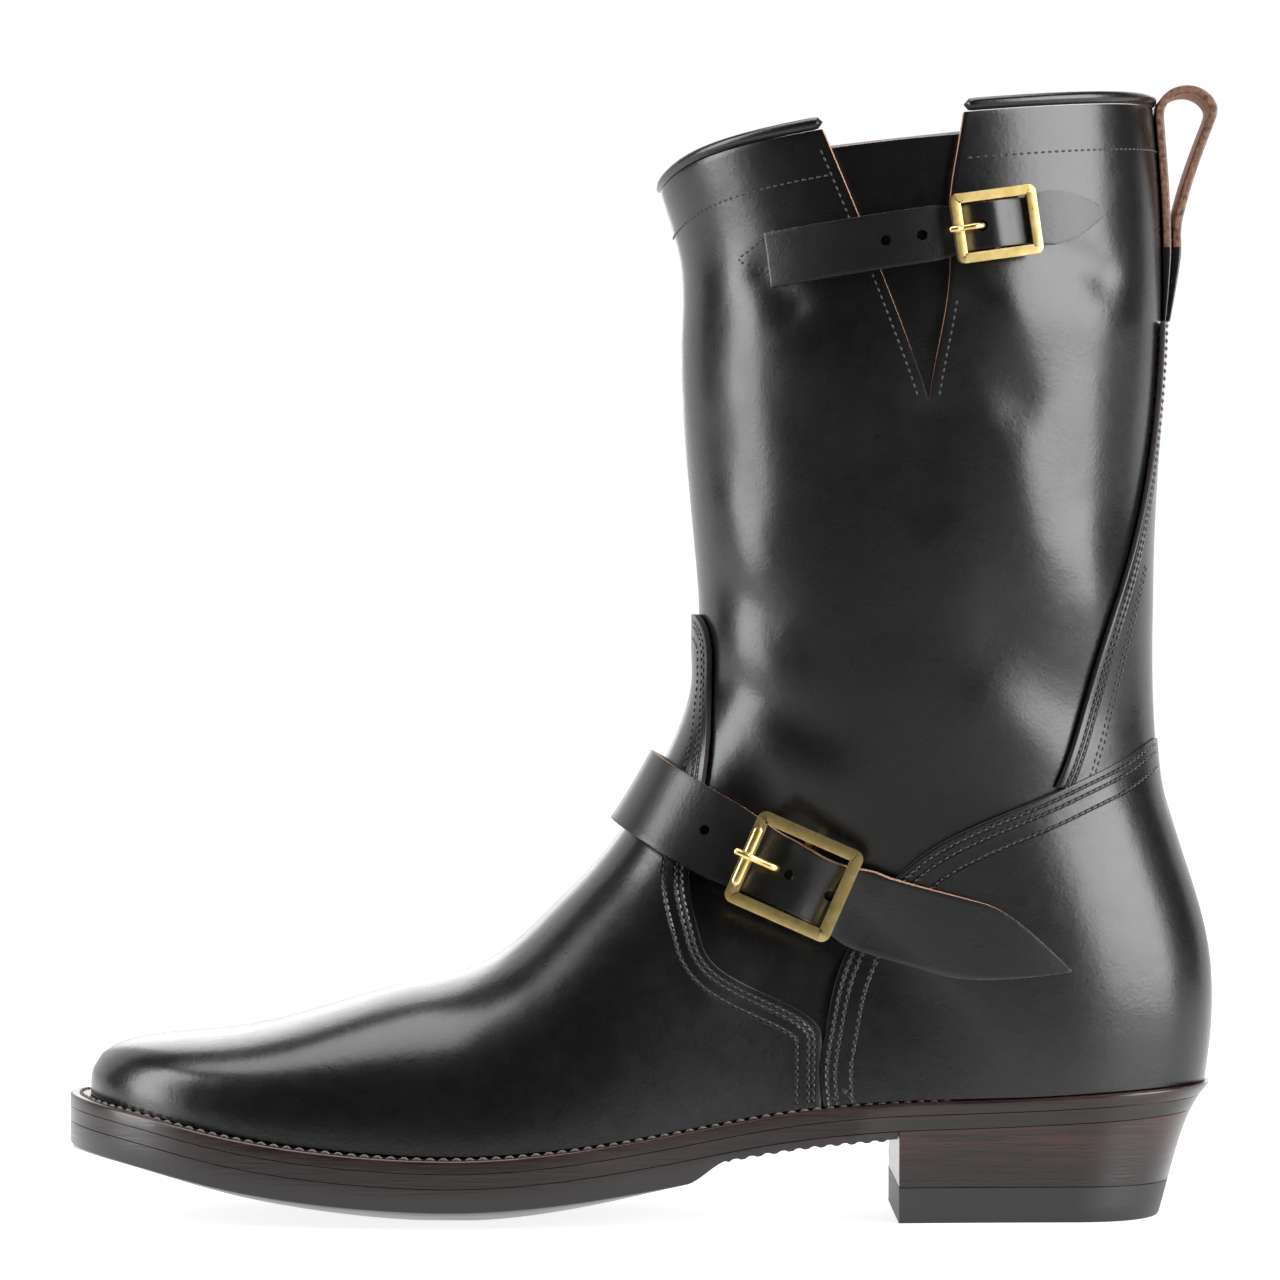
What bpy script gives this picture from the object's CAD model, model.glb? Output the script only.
# %% [markdown]
# # An engineer boot for the left foot
#
# The solids of this boot give its form and its sizes. This script dresses them: every piece is
# rebuilt finely on the same last, with its seams, creases, cut edges and stitches, and gets a
# material of its own. Each cell says first what the piece is on the real boot, how it could be
# made, and why this way was chosen. Sizes are in metres, +Z is up and the toe points to -X.

# %% The frame
import math
from collections import namedtuple

import bpy
import numpy as np
from mathutils import Matrix


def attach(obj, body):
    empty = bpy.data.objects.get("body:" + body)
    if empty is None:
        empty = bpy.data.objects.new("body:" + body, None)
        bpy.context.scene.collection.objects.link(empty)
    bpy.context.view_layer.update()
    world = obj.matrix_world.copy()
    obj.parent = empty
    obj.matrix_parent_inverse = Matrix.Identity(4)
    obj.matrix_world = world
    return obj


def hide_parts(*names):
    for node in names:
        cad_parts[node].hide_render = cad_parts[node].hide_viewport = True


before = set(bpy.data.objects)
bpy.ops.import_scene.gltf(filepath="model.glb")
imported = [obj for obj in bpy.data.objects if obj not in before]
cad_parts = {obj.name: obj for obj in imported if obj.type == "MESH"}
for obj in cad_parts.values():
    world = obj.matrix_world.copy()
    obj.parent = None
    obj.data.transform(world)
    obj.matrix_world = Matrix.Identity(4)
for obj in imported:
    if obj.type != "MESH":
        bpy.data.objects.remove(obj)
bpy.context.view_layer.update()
bpy.ops.object.select_all(action="DESELECT")


# %% [markdown]
# ## The sizes of the last
#
# A boot is made over a last, a foot-shaped block. Its sizes are few: length, ball width, instep,
# heel height and the oval of the leg. The tables hold shares of those sizes, one row for each
# section, so that the skin can be read anywhere on it and not only at the solids' corners.

# %% Sizes
# Driving sizes
LENGTH = 0.305            # toe edge of the welt to the back of the heel seat
BALL_WIDTH = 0.1095       # sole across the ball
SHAFT_WIDTH = 0.102       # shaft from side to side, below the collar
BOOT_HEIGHT = 0.2935      # floor to the top of the shaft leather at the back
COLLAR_DROP = 0.0225      # how far the collar falls from the back to the front
INSTEP_RISE = 0.092       # feather line to the top of the instep, inside the shaft
BALL_EDGE_TOP = 0.0180    # top of the welt at the ball
TOE_SPRING = 0.0138       # rise of the welt from the ball to the toe
HEEL_RISE = 0.0173        # rise of the welt from the ball to the heel seat

# Leather and sole layers
WALL = 0.0020             # upper leather with its lining
OVERLAY = 0.0016          # vamp and back stay
COUNTER_LEATHER = 0.0021
GAP = 0.0003              # clearance between pieces that touch
FEATHER_GAP = 0.0006      # upper above the welt, whose top edge curves
OVERLAY_GAP = 0.0005      # overlays above the upper
STAY_GAP = 0.0008         # between the stay and the counter, and behind the gusset
WELT_THICK = 0.0034
MIDSOLE_THICK = 0.0036
SHANK_THICK = 0.0018      # outsole at the waist
HALF_SOLE_THICK = 0.0060  # outsole at the forefoot
CROWN = 0.0060            # how far the outsole bellies down between its edges
HEEL_LIFT = 0.0093        # rubber top lift

# Welt width outside the upper
WELT_TOE = 0.0075
WELT_WAIST = 0.0050
WELT_HEEL = 0.0032

# Shape of the ends of the plan
TOE_END = 0.082           # length of the rounded toe
TOE_ROUND = 2.15
HEEL_END = 0.034
HEEL_ROUND = 2.2

# Heel
HEEL_BREAST = 0.2197 * LENGTH       # x of the front face of the heel
HEEL_TAPER_BACK = 0.0140  # how far the back of the heel comes in towards the floor
HEEL_TAPER_SIDE = 0.0022

# V notch: x of its lowest point and of its edges at the collar
NOTCH_APEX_X = 0.2433 * LENGTH
NOTCH_APEX_Z = 0.7278 * BOOT_HEIGHT
NOTCH_TOP_FRONT = 0.1508 * LENGTH
NOTCH_TOP_BACK = 0.2734 * LENGTH

PlanRow = namedtuple("PlanRow", "along lateral medial")
# Sole outline: half widths as shares of half the ball width
SOLE_PLAN = [
    PlanRow(0.00, 0.960, 1.000),
    PlanRow(0.27, 0.965, 1.010),
    PlanRow(0.35, 0.985, 0.980),
    PlanRow(0.42, 0.965, 0.890),
    PlanRow(0.50, 0.880, 0.740),
    PlanRow(0.58, 0.790, 0.610),
    PlanRow(0.66, 0.720, 0.560),
    PlanRow(0.75, 0.665, 0.570),
    PlanRow(0.85, 0.640, 0.610),
    PlanRow(1.00, 0.620, 0.630),
]

EdgeRow = namedtuple("EdgeRow", "along spring rise")
# Top edge of the welt: shares of the toe spring and of the heel rise
SOLE_EDGE = [
    EdgeRow(0.000, 1.000, 0.000),
    EdgeRow(0.064, 0.770, 0.000),
    EdgeRow(0.136, 0.430, 0.000),
    EdgeRow(0.205, 0.190, 0.000),
    EdgeRow(0.277, 0.040, 0.000),
    EdgeRow(0.349, 0.000, 0.000),
    EdgeRow(0.421, 0.000, 0.085),
    EdgeRow(0.490, 0.000, 0.245),
    EdgeRow(0.549, 0.000, 0.420),
    EdgeRow(0.605, 0.000, 0.590),
    EdgeRow(0.700, 0.000, 0.760),
    EdgeRow(0.800, 0.000, 0.820),
    EdgeRow(0.900, 0.000, 0.900),
    EdgeRow(1.000, 0.000, 1.000),
]

RidgeRow = namedtuple("RidgeRow", "along height spine square")
# Foot of the last: ridge height (share of the instep rise), ridge side shift (share of half the
# ball width, + is medial) and how square the cross section is
FOOT = [
    RidgeRow(0.000, 0.165, 0.110, 4.0),
    RidgeRow(0.090, 0.217, 0.095, 3.8),
    RidgeRow(0.159, 0.275, 0.085, 3.2),
    RidgeRow(0.228, 0.357, 0.075, 2.8),
    RidgeRow(0.298, 0.439, 0.065, 2.5),
    RidgeRow(0.369, 0.512, 0.060, 2.4),
    RidgeRow(0.438, 0.685, 0.055, 2.3),
    RidgeRow(0.500, 0.865, 0.050, 2.3),
    RidgeRow(0.566, 0.980, 0.045, 2.3),
    RidgeRow(0.631, 0.960, 0.040, 2.3),
    RidgeRow(0.730, 0.800, 0.030, 2.3),
    RidgeRow(0.830, 0.600, 0.010, 2.3),
    RidgeRow(1.000, 0.400, 0.000, 2.3),
]
FOOT_BACK = 0.062         # where the foot form starts to close inside the leg form
FOOT_BACK_END = 0.070

LegRow = namedtuple("LegRow", "up front back half centre")
# Leg of the last: height as a share of the boot height, front and back as shares along the
# length, half width and centre shift as shares of half the shaft width
LEG = [
    LegRow(0.10, 0.680, 0.9800, 0.618, 0.000),
    LegRow(0.18, 0.644, 0.9895, 0.655, 0.000),
    LegRow(0.25, 0.600, 0.9850, 0.685, 0.005),
    LegRow(0.32, 0.560, 0.9655, 0.715, 0.010),
    LegRow(0.39, 0.543, 0.9470, 0.755, 0.015),
    LegRow(0.46, 0.549, 0.9405, 0.815, 0.025),
    LegRow(0.54, 0.5505, 0.9390, 0.880, 0.035),
    LegRow(0.62, 0.545, 0.9415, 0.932, 0.045),
    LegRow(0.71, 0.537, 0.9475, 0.972, 0.050),
    LegRow(0.79, 0.534, 0.9535, 0.995, 0.050),
    LegRow(0.86, 0.533, 0.9545, 1.003, 0.050),
    LegRow(0.92, 0.517, 0.9525, 1.005, 0.050),
    LegRow(1.02, 0.488, 0.9450, 1.005, 0.050),
]
LEG_ROUND = 2.15
BLEND_FRONT = 0.020       # how softly leg and foot run together at the instep
BLEND_BACK = 0.006

RingRow = namedtuple("RingRow", "level front_x front_z back_x back_z")
# Rings that guide the rows of the upper: x along the length, z as shares of the boot height
RINGS = [
    RingRow(0.30, 0.421, 0.274, 0.985, 0.205),
    RingRow(0.36, 0.474, 0.322, 0.980, 0.262),
    RingRow(0.42, 0.520, 0.380, 0.970, 0.313),
    RingRow(0.48, 0.541, 0.437, 0.952, 0.368),
    RingRow(0.55, 0.551, 0.508, 0.944, 0.445),
    RingRow(0.64, 0.550, 0.592, 0.945, 0.555),
    RingRow(0.74, 0.539, 0.688, 0.953, 0.680),
    RingRow(0.84, 0.534, 0.786, 0.960, 0.800),
    RingRow(0.93, 0.530, 0.868, 0.962, 0.912),
    RingRow(1.00, 0.514, 1.000, 0.953, 1.000),
]
INSTEP_LEVEL = 0.30       # rows below this one run down to the feather line

RimRow = namedtuple("RimRow", "along rise")
# Collar line: share of the collar drop won back from the front to the back
COLLAR_LINE = [
    RimRow(0.00, 0.00),
    RimRow(0.06, 0.20),
    RimRow(0.13, 0.35),
    RimRow(0.20, 0.45),
    RimRow(0.32, 0.58),
    RimRow(0.64, 0.80),
    RimRow(1.00, 1.00),
]


# %% [markdown]
# ## Curves through the tables
#
# A spline through a few rows gives a fair line, as a maker's curve does. It is held level past
# its ends. Numpy is used because the same curve is read at many thousand points.

# %% Curves
def column(table, name, scale=1.0):
    return np.array([getattr(row, name) for row in table], float) * scale


def spline(xs, ys):
    """Natural cubic through a table's rows, held level past its ends."""
    xs = np.asarray(xs, float)
    ys = np.asarray(ys, float)
    n = len(xs)
    step = np.diff(xs)
    system = np.eye(n)
    right = np.zeros(n)
    for i in range(1, n - 1):
        system[i, i - 1:i + 2] = step[i - 1], 2 * (step[i - 1] + step[i]), step[i]
        right[i] = 3 * ((ys[i + 1] - ys[i]) / step[i] - (ys[i] - ys[i - 1]) / step[i - 1])
    bend = np.linalg.solve(system, right)

    def value(x):
        x = np.clip(x, xs[0], xs[-1])
        k = np.clip(np.searchsorted(xs, x) - 1, 0, n - 2)
        t = x - xs[k]
        slope = (ys[k + 1] - ys[k]) / step[k] - step[k] * (2 * bend[k] + bend[k + 1]) / 3
        return ys[k] + t * (slope + t * (bend[k] + t * (bend[k + 1] - bend[k]) / (3 * step[k])))

    return value


def along(share):
    return (share - 0.5) * LENGTH


def smooth(t):
    t = np.clip(t, 0.0, 1.0)
    return t * t * (3 - 2 * t)


HALF_BALL = BALL_WIDTH / 2
HALF_SHAFT = SHAFT_WIDTH / 2
TOE_X = along(0.0)
HEEL_X = along(1.0) - 0.001

plan_x = along(column(SOLE_PLAN, "along"))
lateral_width = spline(plan_x, column(SOLE_PLAN, "lateral", HALF_BALL))
medial_width = spline(plan_x, column(SOLE_PLAN, "medial", HALF_BALL))
edge_x = along(column(SOLE_EDGE, "along"))
toe_rise = spline(edge_x, column(SOLE_EDGE, "spring", TOE_SPRING))
heel_rise = spline(edge_x, column(SOLE_EDGE, "rise", HEEL_RISE))
foot_x = along(column(FOOT, "along"))
ridge_rise = spline(foot_x, column(FOOT, "height", INSTEP_RISE))
spine_y = spline(foot_x, column(FOOT, "spine", HALF_BALL))
foot_square = spline(foot_x, column(FOOT, "square"))
leg_z = column(LEG, "up", BOOT_HEIGHT)
leg_front = spline(leg_z, along(column(LEG, "front")))
leg_back = spline(leg_z, along(column(LEG, "back")))
leg_half = spline(leg_z, column(LEG, "half", HALF_SHAFT))
leg_centre = spline(leg_z, column(LEG, "centre", HALF_SHAFT))
ring_level = column(RINGS, "level")
ring_front_x = spline(ring_level, along(column(RINGS, "front_x")))
ring_back_x = spline(ring_level, along(column(RINGS, "back_x")))
ring_front_z = spline(ring_level, column(RINGS, "front_z", BOOT_HEIGHT)
                      - np.where(ring_level > 0.99, COLLAR_DROP, 0.0))
ring_back_z = spline(ring_level, column(RINGS, "back_z", BOOT_HEIGHT))
collar_rise = spline(column(COLLAR_LINE, "along"), column(COLLAR_LINE, "rise"))


# %% [markdown]
# ## The form of the last
#
# Foot and leg are two simple bodies, each written as a field that is zero on its skin. A soft
# union runs them together at the instep. The alternative, a cage of points pulled by hand, would
# be quicker to start but would not let seams and straps follow the leather exactly.

# %% The form
def welt_top(x):
    """Height of the feather line, where the upper meets the welt."""
    return BALL_EDGE_TOP + toe_rise(x) + heel_rise(x)


def welt_width(x):
    front = WELT_TOE + (WELT_WAIST - WELT_TOE) * smooth((x - along(0.25)) / (0.30 * LENGTH))
    return front + (WELT_HEEL - WELT_WAIST) * smooth((x - along(0.60)) / (0.25 * LENGTH))


def end_factor(x, inset=0.0):
    """1 along the middle of the sole, falling round the toe and the heel to 0."""
    toe_start = TOE_X + TOE_END
    heel_start = HEEL_X - HEEL_END
    toe = np.clip((toe_start - x) / (TOE_END - inset), 0.0, 1.0)
    heel = np.clip((x - heel_start) / (HEEL_END - inset), 0.0, 1.0)
    return ((1 - toe ** TOE_ROUND) ** (1 / TOE_ROUND)
            * (1 - heel ** HEEL_ROUND) ** (1 / HEEL_ROUND))


def outline_y(x, side, inset=0.0):
    """Edge of the sole at x; side is -1 for lateral, 1 for medial."""
    width = np.where(side < 0, lateral_width(x), medial_width(x)) - inset
    middle = spine_y(x)
    return middle + (side * width - middle) * end_factor(x, inset)


def foot_field(p):
    x, y, z = p[..., 0], p[..., 1], p[..., 2]
    middle = spine_y(x)
    inset = welt_width(x)
    lateral = lateral_width(x) - inset + middle
    medial = medial_width(x) - inset - middle
    width = np.where(y < middle, lateral, medial)
    toe = np.clip((TOE_X + TOE_END - x) / (TOE_END - WELT_TOE), 0.0, None)
    back = np.clip((x - FOOT_BACK) / FOOT_BACK_END, 0.0, None)
    across = np.abs(y - middle) / width
    up = np.clip(z - welt_top(x), 0.0, None) / ridge_rise(x)
    plan = (toe ** TOE_ROUND + back ** TOE_ROUND + across ** TOE_ROUND) ** (1 / TOE_ROUND)
    square = foot_square(x)
    return ((plan ** square + up ** square) ** (1 / square) - 1) * HALF_BALL


def leg_field(p):
    x, y, z = p[..., 0], p[..., 1], p[..., 2]
    front, back = leg_front(z), leg_back(z)
    middle = (front + back) / 2
    reach = (back - front) / 2
    half = leg_half(z)
    ring = ((np.abs(x - middle) / reach) ** LEG_ROUND
            + (np.abs(y - leg_centre(z)) / half) ** LEG_ROUND) ** (1 / LEG_ROUND)
    return (ring - 1) * half


def form(p):
    """Outside of the upper: below zero inside, about the distance from it near by."""
    foot, leg = foot_field(p), leg_field(p)
    soft = BLEND_BACK + (BLEND_FRONT - BLEND_BACK) * smooth((0.070 - p[..., 0]) / 0.070)
    share = np.clip(0.5 + 0.5 * (leg - foot) / soft, 0.0, 1.0)
    return leg * (1 - share) + foot * share - soft * share * (1 - share)


def slope(p):
    """Gradient of the form at the points p."""
    tiny = 1e-5
    parts = []
    for axis in range(3):
        shift = np.zeros(3)
        shift[axis] = tiny
        parts.append((form(p + shift) - form(p - shift)) / (2 * tiny))
    return np.stack(parts, axis=-1)


def outward(p):
    g = slope(p)
    return g / np.linalg.norm(g, axis=-1, keepdims=True)


def feather(angle):
    """Point of the feather line; angle 0 is the toe, pi / 2 the lateral side."""
    start = TOE_X + WELT_TOE
    end = HEEL_X - WELT_HEEL
    x = (start + end) / 2 - (end - start) / 2 * np.cos(angle)
    side = np.where(np.sin(angle) > 0, -1.0, 1.0)
    y = outline_y(x, side, welt_width(x))
    return np.stack([x, y, welt_top(x) + FEATHER_GAP], axis=-1)


def ring(angle, level):
    front, back = ring_front_x(level), ring_back_x(level)
    share = (1 - np.cos(angle)) / 2
    x = front + (back - front) * share
    low, high = ring_front_z(level), ring_back_z(level)
    bow = smooth((level - 0.86) / 0.14)
    z = low + (high - low) * (share + bow * (collar_rise(share) - share))
    y = leg_centre(z) - leg_half(z) * np.sin(angle)
    return np.stack([x, y, z], axis=-1)


def upper_point(angle, level):
    """Point of the upper's outside, on the row at this level and at this angle round it."""
    angle, level = np.broadcast_arrays(np.asarray(angle, float), np.asarray(level, float))
    share = np.clip(level / INSTEP_LEVEL, 0.0, 1.0)
    low = feather(angle)
    high = ring(angle, np.maximum(level, INSTEP_LEVEL))
    return settle(low + (high - low) * share[..., None], climb_at(level), 14)


def climb_at(level):
    """How freely a point may move up or down while it settles on the form."""
    return smooth(level / 0.004) * (1 - smooth((level - 0.42) / 0.13))


def settle(p, climb, steps):
    for _ in range(steps):
        g = slope(p)
        pull = g * np.stack([np.ones_like(climb), np.ones_like(climb), climb], axis=-1)
        pull /= np.linalg.norm(pull, axis=-1, keepdims=True)
        rate = np.sum(pull * g, axis=-1)
        step = np.clip(-form(p) / np.maximum(rate, 0.2), -0.004, 0.004)
        p = p + pull * step[..., None]
    return p


def notch_front(z):
    share = (z - NOTCH_APEX_Z) / (BOOT_HEIGHT - 0.008 - NOTCH_APEX_Z)
    return NOTCH_APEX_X + (NOTCH_TOP_FRONT - NOTCH_APEX_X) * np.clip(share, 0.0, 1.2) ** 1.08


NotchRow = namedtuple("NotchRow", "up reach")
# Back edge of the notch: share of the notch height and share of its reach behind the apex
NOTCH_BACK_EDGE = [
    NotchRow(0.00, 0.00),
    NotchRow(0.12, 0.16),
    NotchRow(0.28, 0.42),
    NotchRow(0.44, 0.58),
    NotchRow(0.72, 0.62),
    NotchRow(0.86, 0.80),
    NotchRow(1.02, 1.02),
]
notch_reach = spline(column(NOTCH_BACK_EDGE, "up"), column(NOTCH_BACK_EDGE, "reach"))


def notch_back(z):
    share = (z - NOTCH_APEX_Z) / (BOOT_HEIGHT - 0.005 - NOTCH_APEX_Z)
    return NOTCH_APEX_X + (NOTCH_TOP_BACK - NOTCH_APEX_X) * notch_reach(share)


# %% [markdown]
# ## Creases and dents
#
# New leather still shows where it was pulled over the last, folded at the strap's slit and
# pressed by the buckles. Each row below is one soft trough or ridge, placed by hand: it runs
# between two points seen from the side, and dies away over its width. The leather moves along
# its own normal, so every layer sewn on top moves with it.

# %% Creases
CreaseRow = namedtuple("CreaseRow", "side x_a z_a x_b z_b width depth")
# side: -1 outer, 1 inner, 0 both; lengths in millimetres; depth is negative for a trough
CREASES = [
    CreaseRow(-1, 32, 247, 39, 239, 5.0, -1.1),
    CreaseRow(-1, 30, 233, 44, 226, 9.0, 0.5),
    CreaseRow(-1, 110, 253, 120, 247, 6.0, -1.3),
    CreaseRow(-1, 96, 239, 122, 236, 9.0, 0.7),
    CreaseRow(-1, 84, 236, 97, 214, 8.0, -0.9),
    CreaseRow(-1, 98, 214, 112, 188, 11.0, -0.8),
    CreaseRow(-1, 88, 240, 116, 164, 15.0, 1.3),
    CreaseRow(-1, 76, 216, 98, 158, 13.0, -0.7),
    CreaseRow(-1, 74, 210, 74, 188, 6.0, -0.5),
    CreaseRow(-1, 58, 196, 66, 158, 13.0, -0.5),
    CreaseRow(0, 22, 205, 27, 190, 7.0, -0.35),
    CreaseRow(0, 24, 186, 30, 172, 7.0, 0.35),
    CreaseRow(0, 22, 166, 34, 158, 6.0, -0.45),
    CreaseRow(0, 20, 150, 38, 140, 7.0, 0.4),
    CreaseRow(0, 24, 140, 46, 128, 7.0, -0.6),
    CreaseRow(0, 22, 128, 50, 114, 8.0, 0.4),
    CreaseRow(-1, 92, 150, 118, 132, 11.0, -0.7),
    CreaseRow(-1, 88, 132, 112, 120, 9.0, 0.5),
    CreaseRow(1, 70, 150, 112, 138, 10.0, -0.9),
    CreaseRow(1, 64, 130, 100, 124, 9.0, 0.6),
    CreaseRow(1, 80, 222, 100, 190, 12.0, -0.5),
    CreaseRow(0, -6, 86, 8, 72, 8.0, -0.4),
    CreaseRow(0, -34, 66, -20, 46, 9.0, -0.35),
    CreaseRow(0, -52, 60, -40, 40, 10.0, -0.3),
    CreaseRow(-1, 30, 60, 44, 44, 9.0, -0.5),
    CreaseRow(0, 122, 118, 134, 112, 7.0, -0.4),
]
MM = 0.001


def relief(p):
    """How far the leather stands out from the last at the points p."""
    x, y, z = p[..., 0], p[..., 1], p[..., 2]
    out = np.zeros(p.shape[:-1])
    for row in CREASES:
        ax, az, bx, bz = (v * MM for v in (row.x_a, row.z_a, row.x_b, row.z_b))
        run = (bx - ax) ** 2 + (bz - az) ** 2
        share = np.clip(((x - ax) * (bx - ax) + (z - az) * (bz - az)) / run, 0.0, 1.0)
        far2 = (x - ax - share * (bx - ax)) ** 2 + (z - az - share * (bz - az)) ** 2
        near = np.exp(-far2 / (row.width * MM) ** 2)
        if row.side:
            near = near * smooth((row.side * y / (8 * MM) + 0.5))
        out += row.depth * MM * near
    return out


# %% [markdown]
# ## The skin
#
# The fine map holds the skin of the boot row by row, from the feather line, where the upper meets
# the welt, up to the collar. A coarse map is settled on the form first and the fine one starts
# from it, which takes seconds where solving each point from afar would take minutes. Every piece
# of leather, every seam and every stitch then reads its place from the map.

# %% The skin
MAP_TURNS = 720
FOOT_STEPS = 110
LEG_STEPS = 210
LEVELS = np.concatenate([INSTEP_LEVEL * (np.arange(FOOT_STEPS) / FOOT_STEPS) ** 1.5,
                         np.linspace(INSTEP_LEVEL, 1.0, LEG_STEPS + 1)])
TURNS = np.linspace(0.0, 2 * math.pi, MAP_TURNS + 1)


def between(table, rows, columns):
    """Values of a table at broken row and column numbers."""
    rows = np.clip(rows, 0, table.shape[0] - 1.001)
    columns = np.clip(columns, 0, table.shape[1] - 1.001)
    i, j = rows.astype(int), columns.astype(int)
    u, v = rows - i, columns - j
    if table.ndim == 3:
        u, v = u[..., None], v[..., None]
    low = table[i, j] * (1 - v) + table[i, j + 1] * v
    high = table[i + 1, j] * (1 - v) + table[i + 1, j + 1] * v
    return low * (1 - u) + high * u


def fine_map():
    few_levels = np.unique(np.concatenate([LEVELS[::5], LEVELS[-1:]]))
    few_turns = TURNS[::8]
    few = upper_point(few_turns[None, :], few_levels[:, None])
    rows = np.interp(LEVELS, few_levels, np.arange(len(few_levels)))
    columns = np.arange(MAP_TURNS + 1) / 8
    rows, columns = np.broadcast_arrays(rows[:, None], columns[None, :])
    start = between(few, rows, columns)
    return settle(start, climb_at(LEVELS)[:, None] + 0 * columns, 4)


PLAIN_SKIN = fine_map()
NORMALS = outward(PLAIN_SKIN)
SKIN = PLAIN_SKIN + NORMALS * relief(PLAIN_SKIN)[..., None]
print("skin:", SKIN.shape[0], "rows of", SKIN.shape[1], "points")


def skin(level, turn):
    """Point and outward direction of the leather at a level and a turn round the boot."""
    level, turn = np.broadcast_arrays(np.asarray(level, float), np.asarray(turn, float))
    rows = np.interp(level, LEVELS, np.arange(len(LEVELS)))
    columns = (turn / (2 * math.pi)) % 1.0 * MAP_TURNS
    n = between(NORMALS, rows, columns)
    return between(SKIN, rows, columns), n / np.linalg.norm(n, axis=-1, keepdims=True)


def crossing(levels, line, turn_in, turn_out):
    """Turn at which each row first crosses x = line(z), from turn_in towards turn_out."""
    levels = np.atleast_1d(levels)
    turns = np.linspace(turn_in, turn_out, 700)
    p, _ = skin(levels[:, None], turns[None, :])
    past = p[..., 0] - line(p[..., 2])
    k = np.where(np.any(past > 0, axis=1), np.argmax(past > 0, axis=1), len(turns) - 1)
    each = np.arange(len(levels))
    k = np.maximum(k, 1)
    low, high = past[each, k - 1], past[each, k]
    share = np.clip(low / np.where(low == high, 1.0, low - high), 0.0, 1.0)
    return turns[k - 1] + (turns[k] - turns[k - 1]) * share


def front_turn(levels):
    """Turn of the notch's front edge on each row."""
    return crossing(levels, notch_front, 0.3, 2.6)


def back_turn(levels):
    """Turn of the notch's back edge on each row."""
    return crossing(levels, notch_back, 0.5, 2.8)


def level_at(height, turn):
    """Level at which the skin reaches a height, at one turn."""
    z = between(SKIN[..., 2], np.arange(len(LEVELS)),
                np.full(len(LEVELS), (turn / (2 * math.pi)) % 1.0 * MAP_TURNS))
    return float(np.interp(height, z, LEVELS))


# %% [markdown]
# ## Helpers for materials
#
# Every finish is a small tree of nodes read in Object coordinates, so grain and streaks keep
# their size in metres wherever the piece lies. These helpers keep the trees short: they add a
# node with its settings, stretch or combine values, mix two colours and chain the bumps.

# %% Material helpers
def finish_named(name, colour, roughness, metallic=0.0, coat=0.0, coat_roughness=0.1):
    """New material, its node tree and its shader."""
    made = bpy.data.materials.new(name)
    made.use_nodes = True
    tree = made.node_tree
    shader = tree.nodes["Principled BSDF"]
    shader.inputs["Base Color"].default_value = (*colour, 1.0)
    shader.inputs["Roughness"].default_value = roughness
    shader.inputs["Metallic"].default_value = metallic
    shader.inputs["Coat Weight"].default_value = coat
    shader.inputs["Coat Roughness"].default_value = coat_roughness
    return made, tree, shader


def add_node(tree, kind, links=(), **settings):
    """Node of a kind; settings go to its inputs by name, or to the node itself."""
    made = tree.nodes.new(kind)
    for key, value in settings.items():
        spot = key.replace("_", " ").title()
        if spot in made.inputs:
            made.inputs[spot].default_value = value
        else:
            setattr(made, key, value)
    for source, target in links:
        tree.links.new(source, made.inputs[target])
    return made


def noise(tree, scale, detail=3.0, stretch=(1.0, 1.0, 1.0), roughness=0.5):
    """Noise in Object coordinates; stretch squeezes it along the axes."""
    place = add_node(tree, "ShaderNodeTexCoord")
    turn = add_node(tree, "ShaderNodeMapping", [(place.outputs["Object"], "Vector")],
                    scale=stretch)
    made = add_node(tree, "ShaderNodeTexNoise", [(turn.outputs["Vector"], "Vector")],
                    scale=scale, detail=detail, roughness=roughness)
    return made.outputs["Fac"]


def spread(tree, source, low, high, source_low=0.0, source_high=1.0):
    """A value stretched from one range to another."""
    made = add_node(tree, "ShaderNodeMapRange", [(source, "Value")])
    for name, value in (("From Min", source_low), ("From Max", source_high),
                        ("To Min", low), ("To Max", high)):
        made.inputs[name].default_value = value
    return made.outputs["Result"]


def maths(tree, first, second, operation="ADD"):
    """Sum, product or another sum of two values; a plain number is set on the node."""
    made = add_node(tree, "ShaderNodeMath", operation=operation)
    for spot, value in enumerate((first, second)):
        if isinstance(value, float):
            made.inputs[spot].default_value = value
        else:
            tree.links.new(value, made.inputs[spot])
    return made.outputs["Value"]


def tint(tree, shader, share, dark, light):
    """Base colour between two colours."""
    mix = add_node(tree, "ShaderNodeMix", data_type="RGBA")
    tree.links.new(share, mix.inputs[0])
    mix.inputs[6].default_value = (*dark, 1.0)
    mix.inputs[7].default_value = (*light, 1.0)
    tree.links.new(mix.outputs[2], shader.inputs["Base Color"])
    return mix


def bump(tree, shader, heights):
    """Chain of bumps; each row is a height, its strength and its depth in metres."""
    normal = None
    for height, strength, depth in heights:
        made = add_node(tree, "ShaderNodeBump", [(height, "Height")])
        made.inputs["Strength"].default_value = strength
        made.inputs["Distance"].default_value = depth
        if normal:
            tree.links.new(normal, made.inputs["Normal"])
        normal = made.outputs["Normal"]
    tree.links.new(normal, shader.inputs["Normal"])


# %% [markdown]
# ## Black leather
#
# The leather is a smooth, waxed black side: almost no pores, a soft broad gloss, and a gloss that
# wanders a little where hands and brushes have been. Every sewn piece carries the distance to its
# hem as an attribute, and the groove under each stitched row is read from it, so it runs exactly
# along its stitches.

# %% Leather
LEATHER_BLACK = (0.0032, 0.0030, 0.0031)
LEATHER_WORN = (0.0046, 0.0042, 0.0041)
GROOVE_HALF = 0.55


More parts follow.
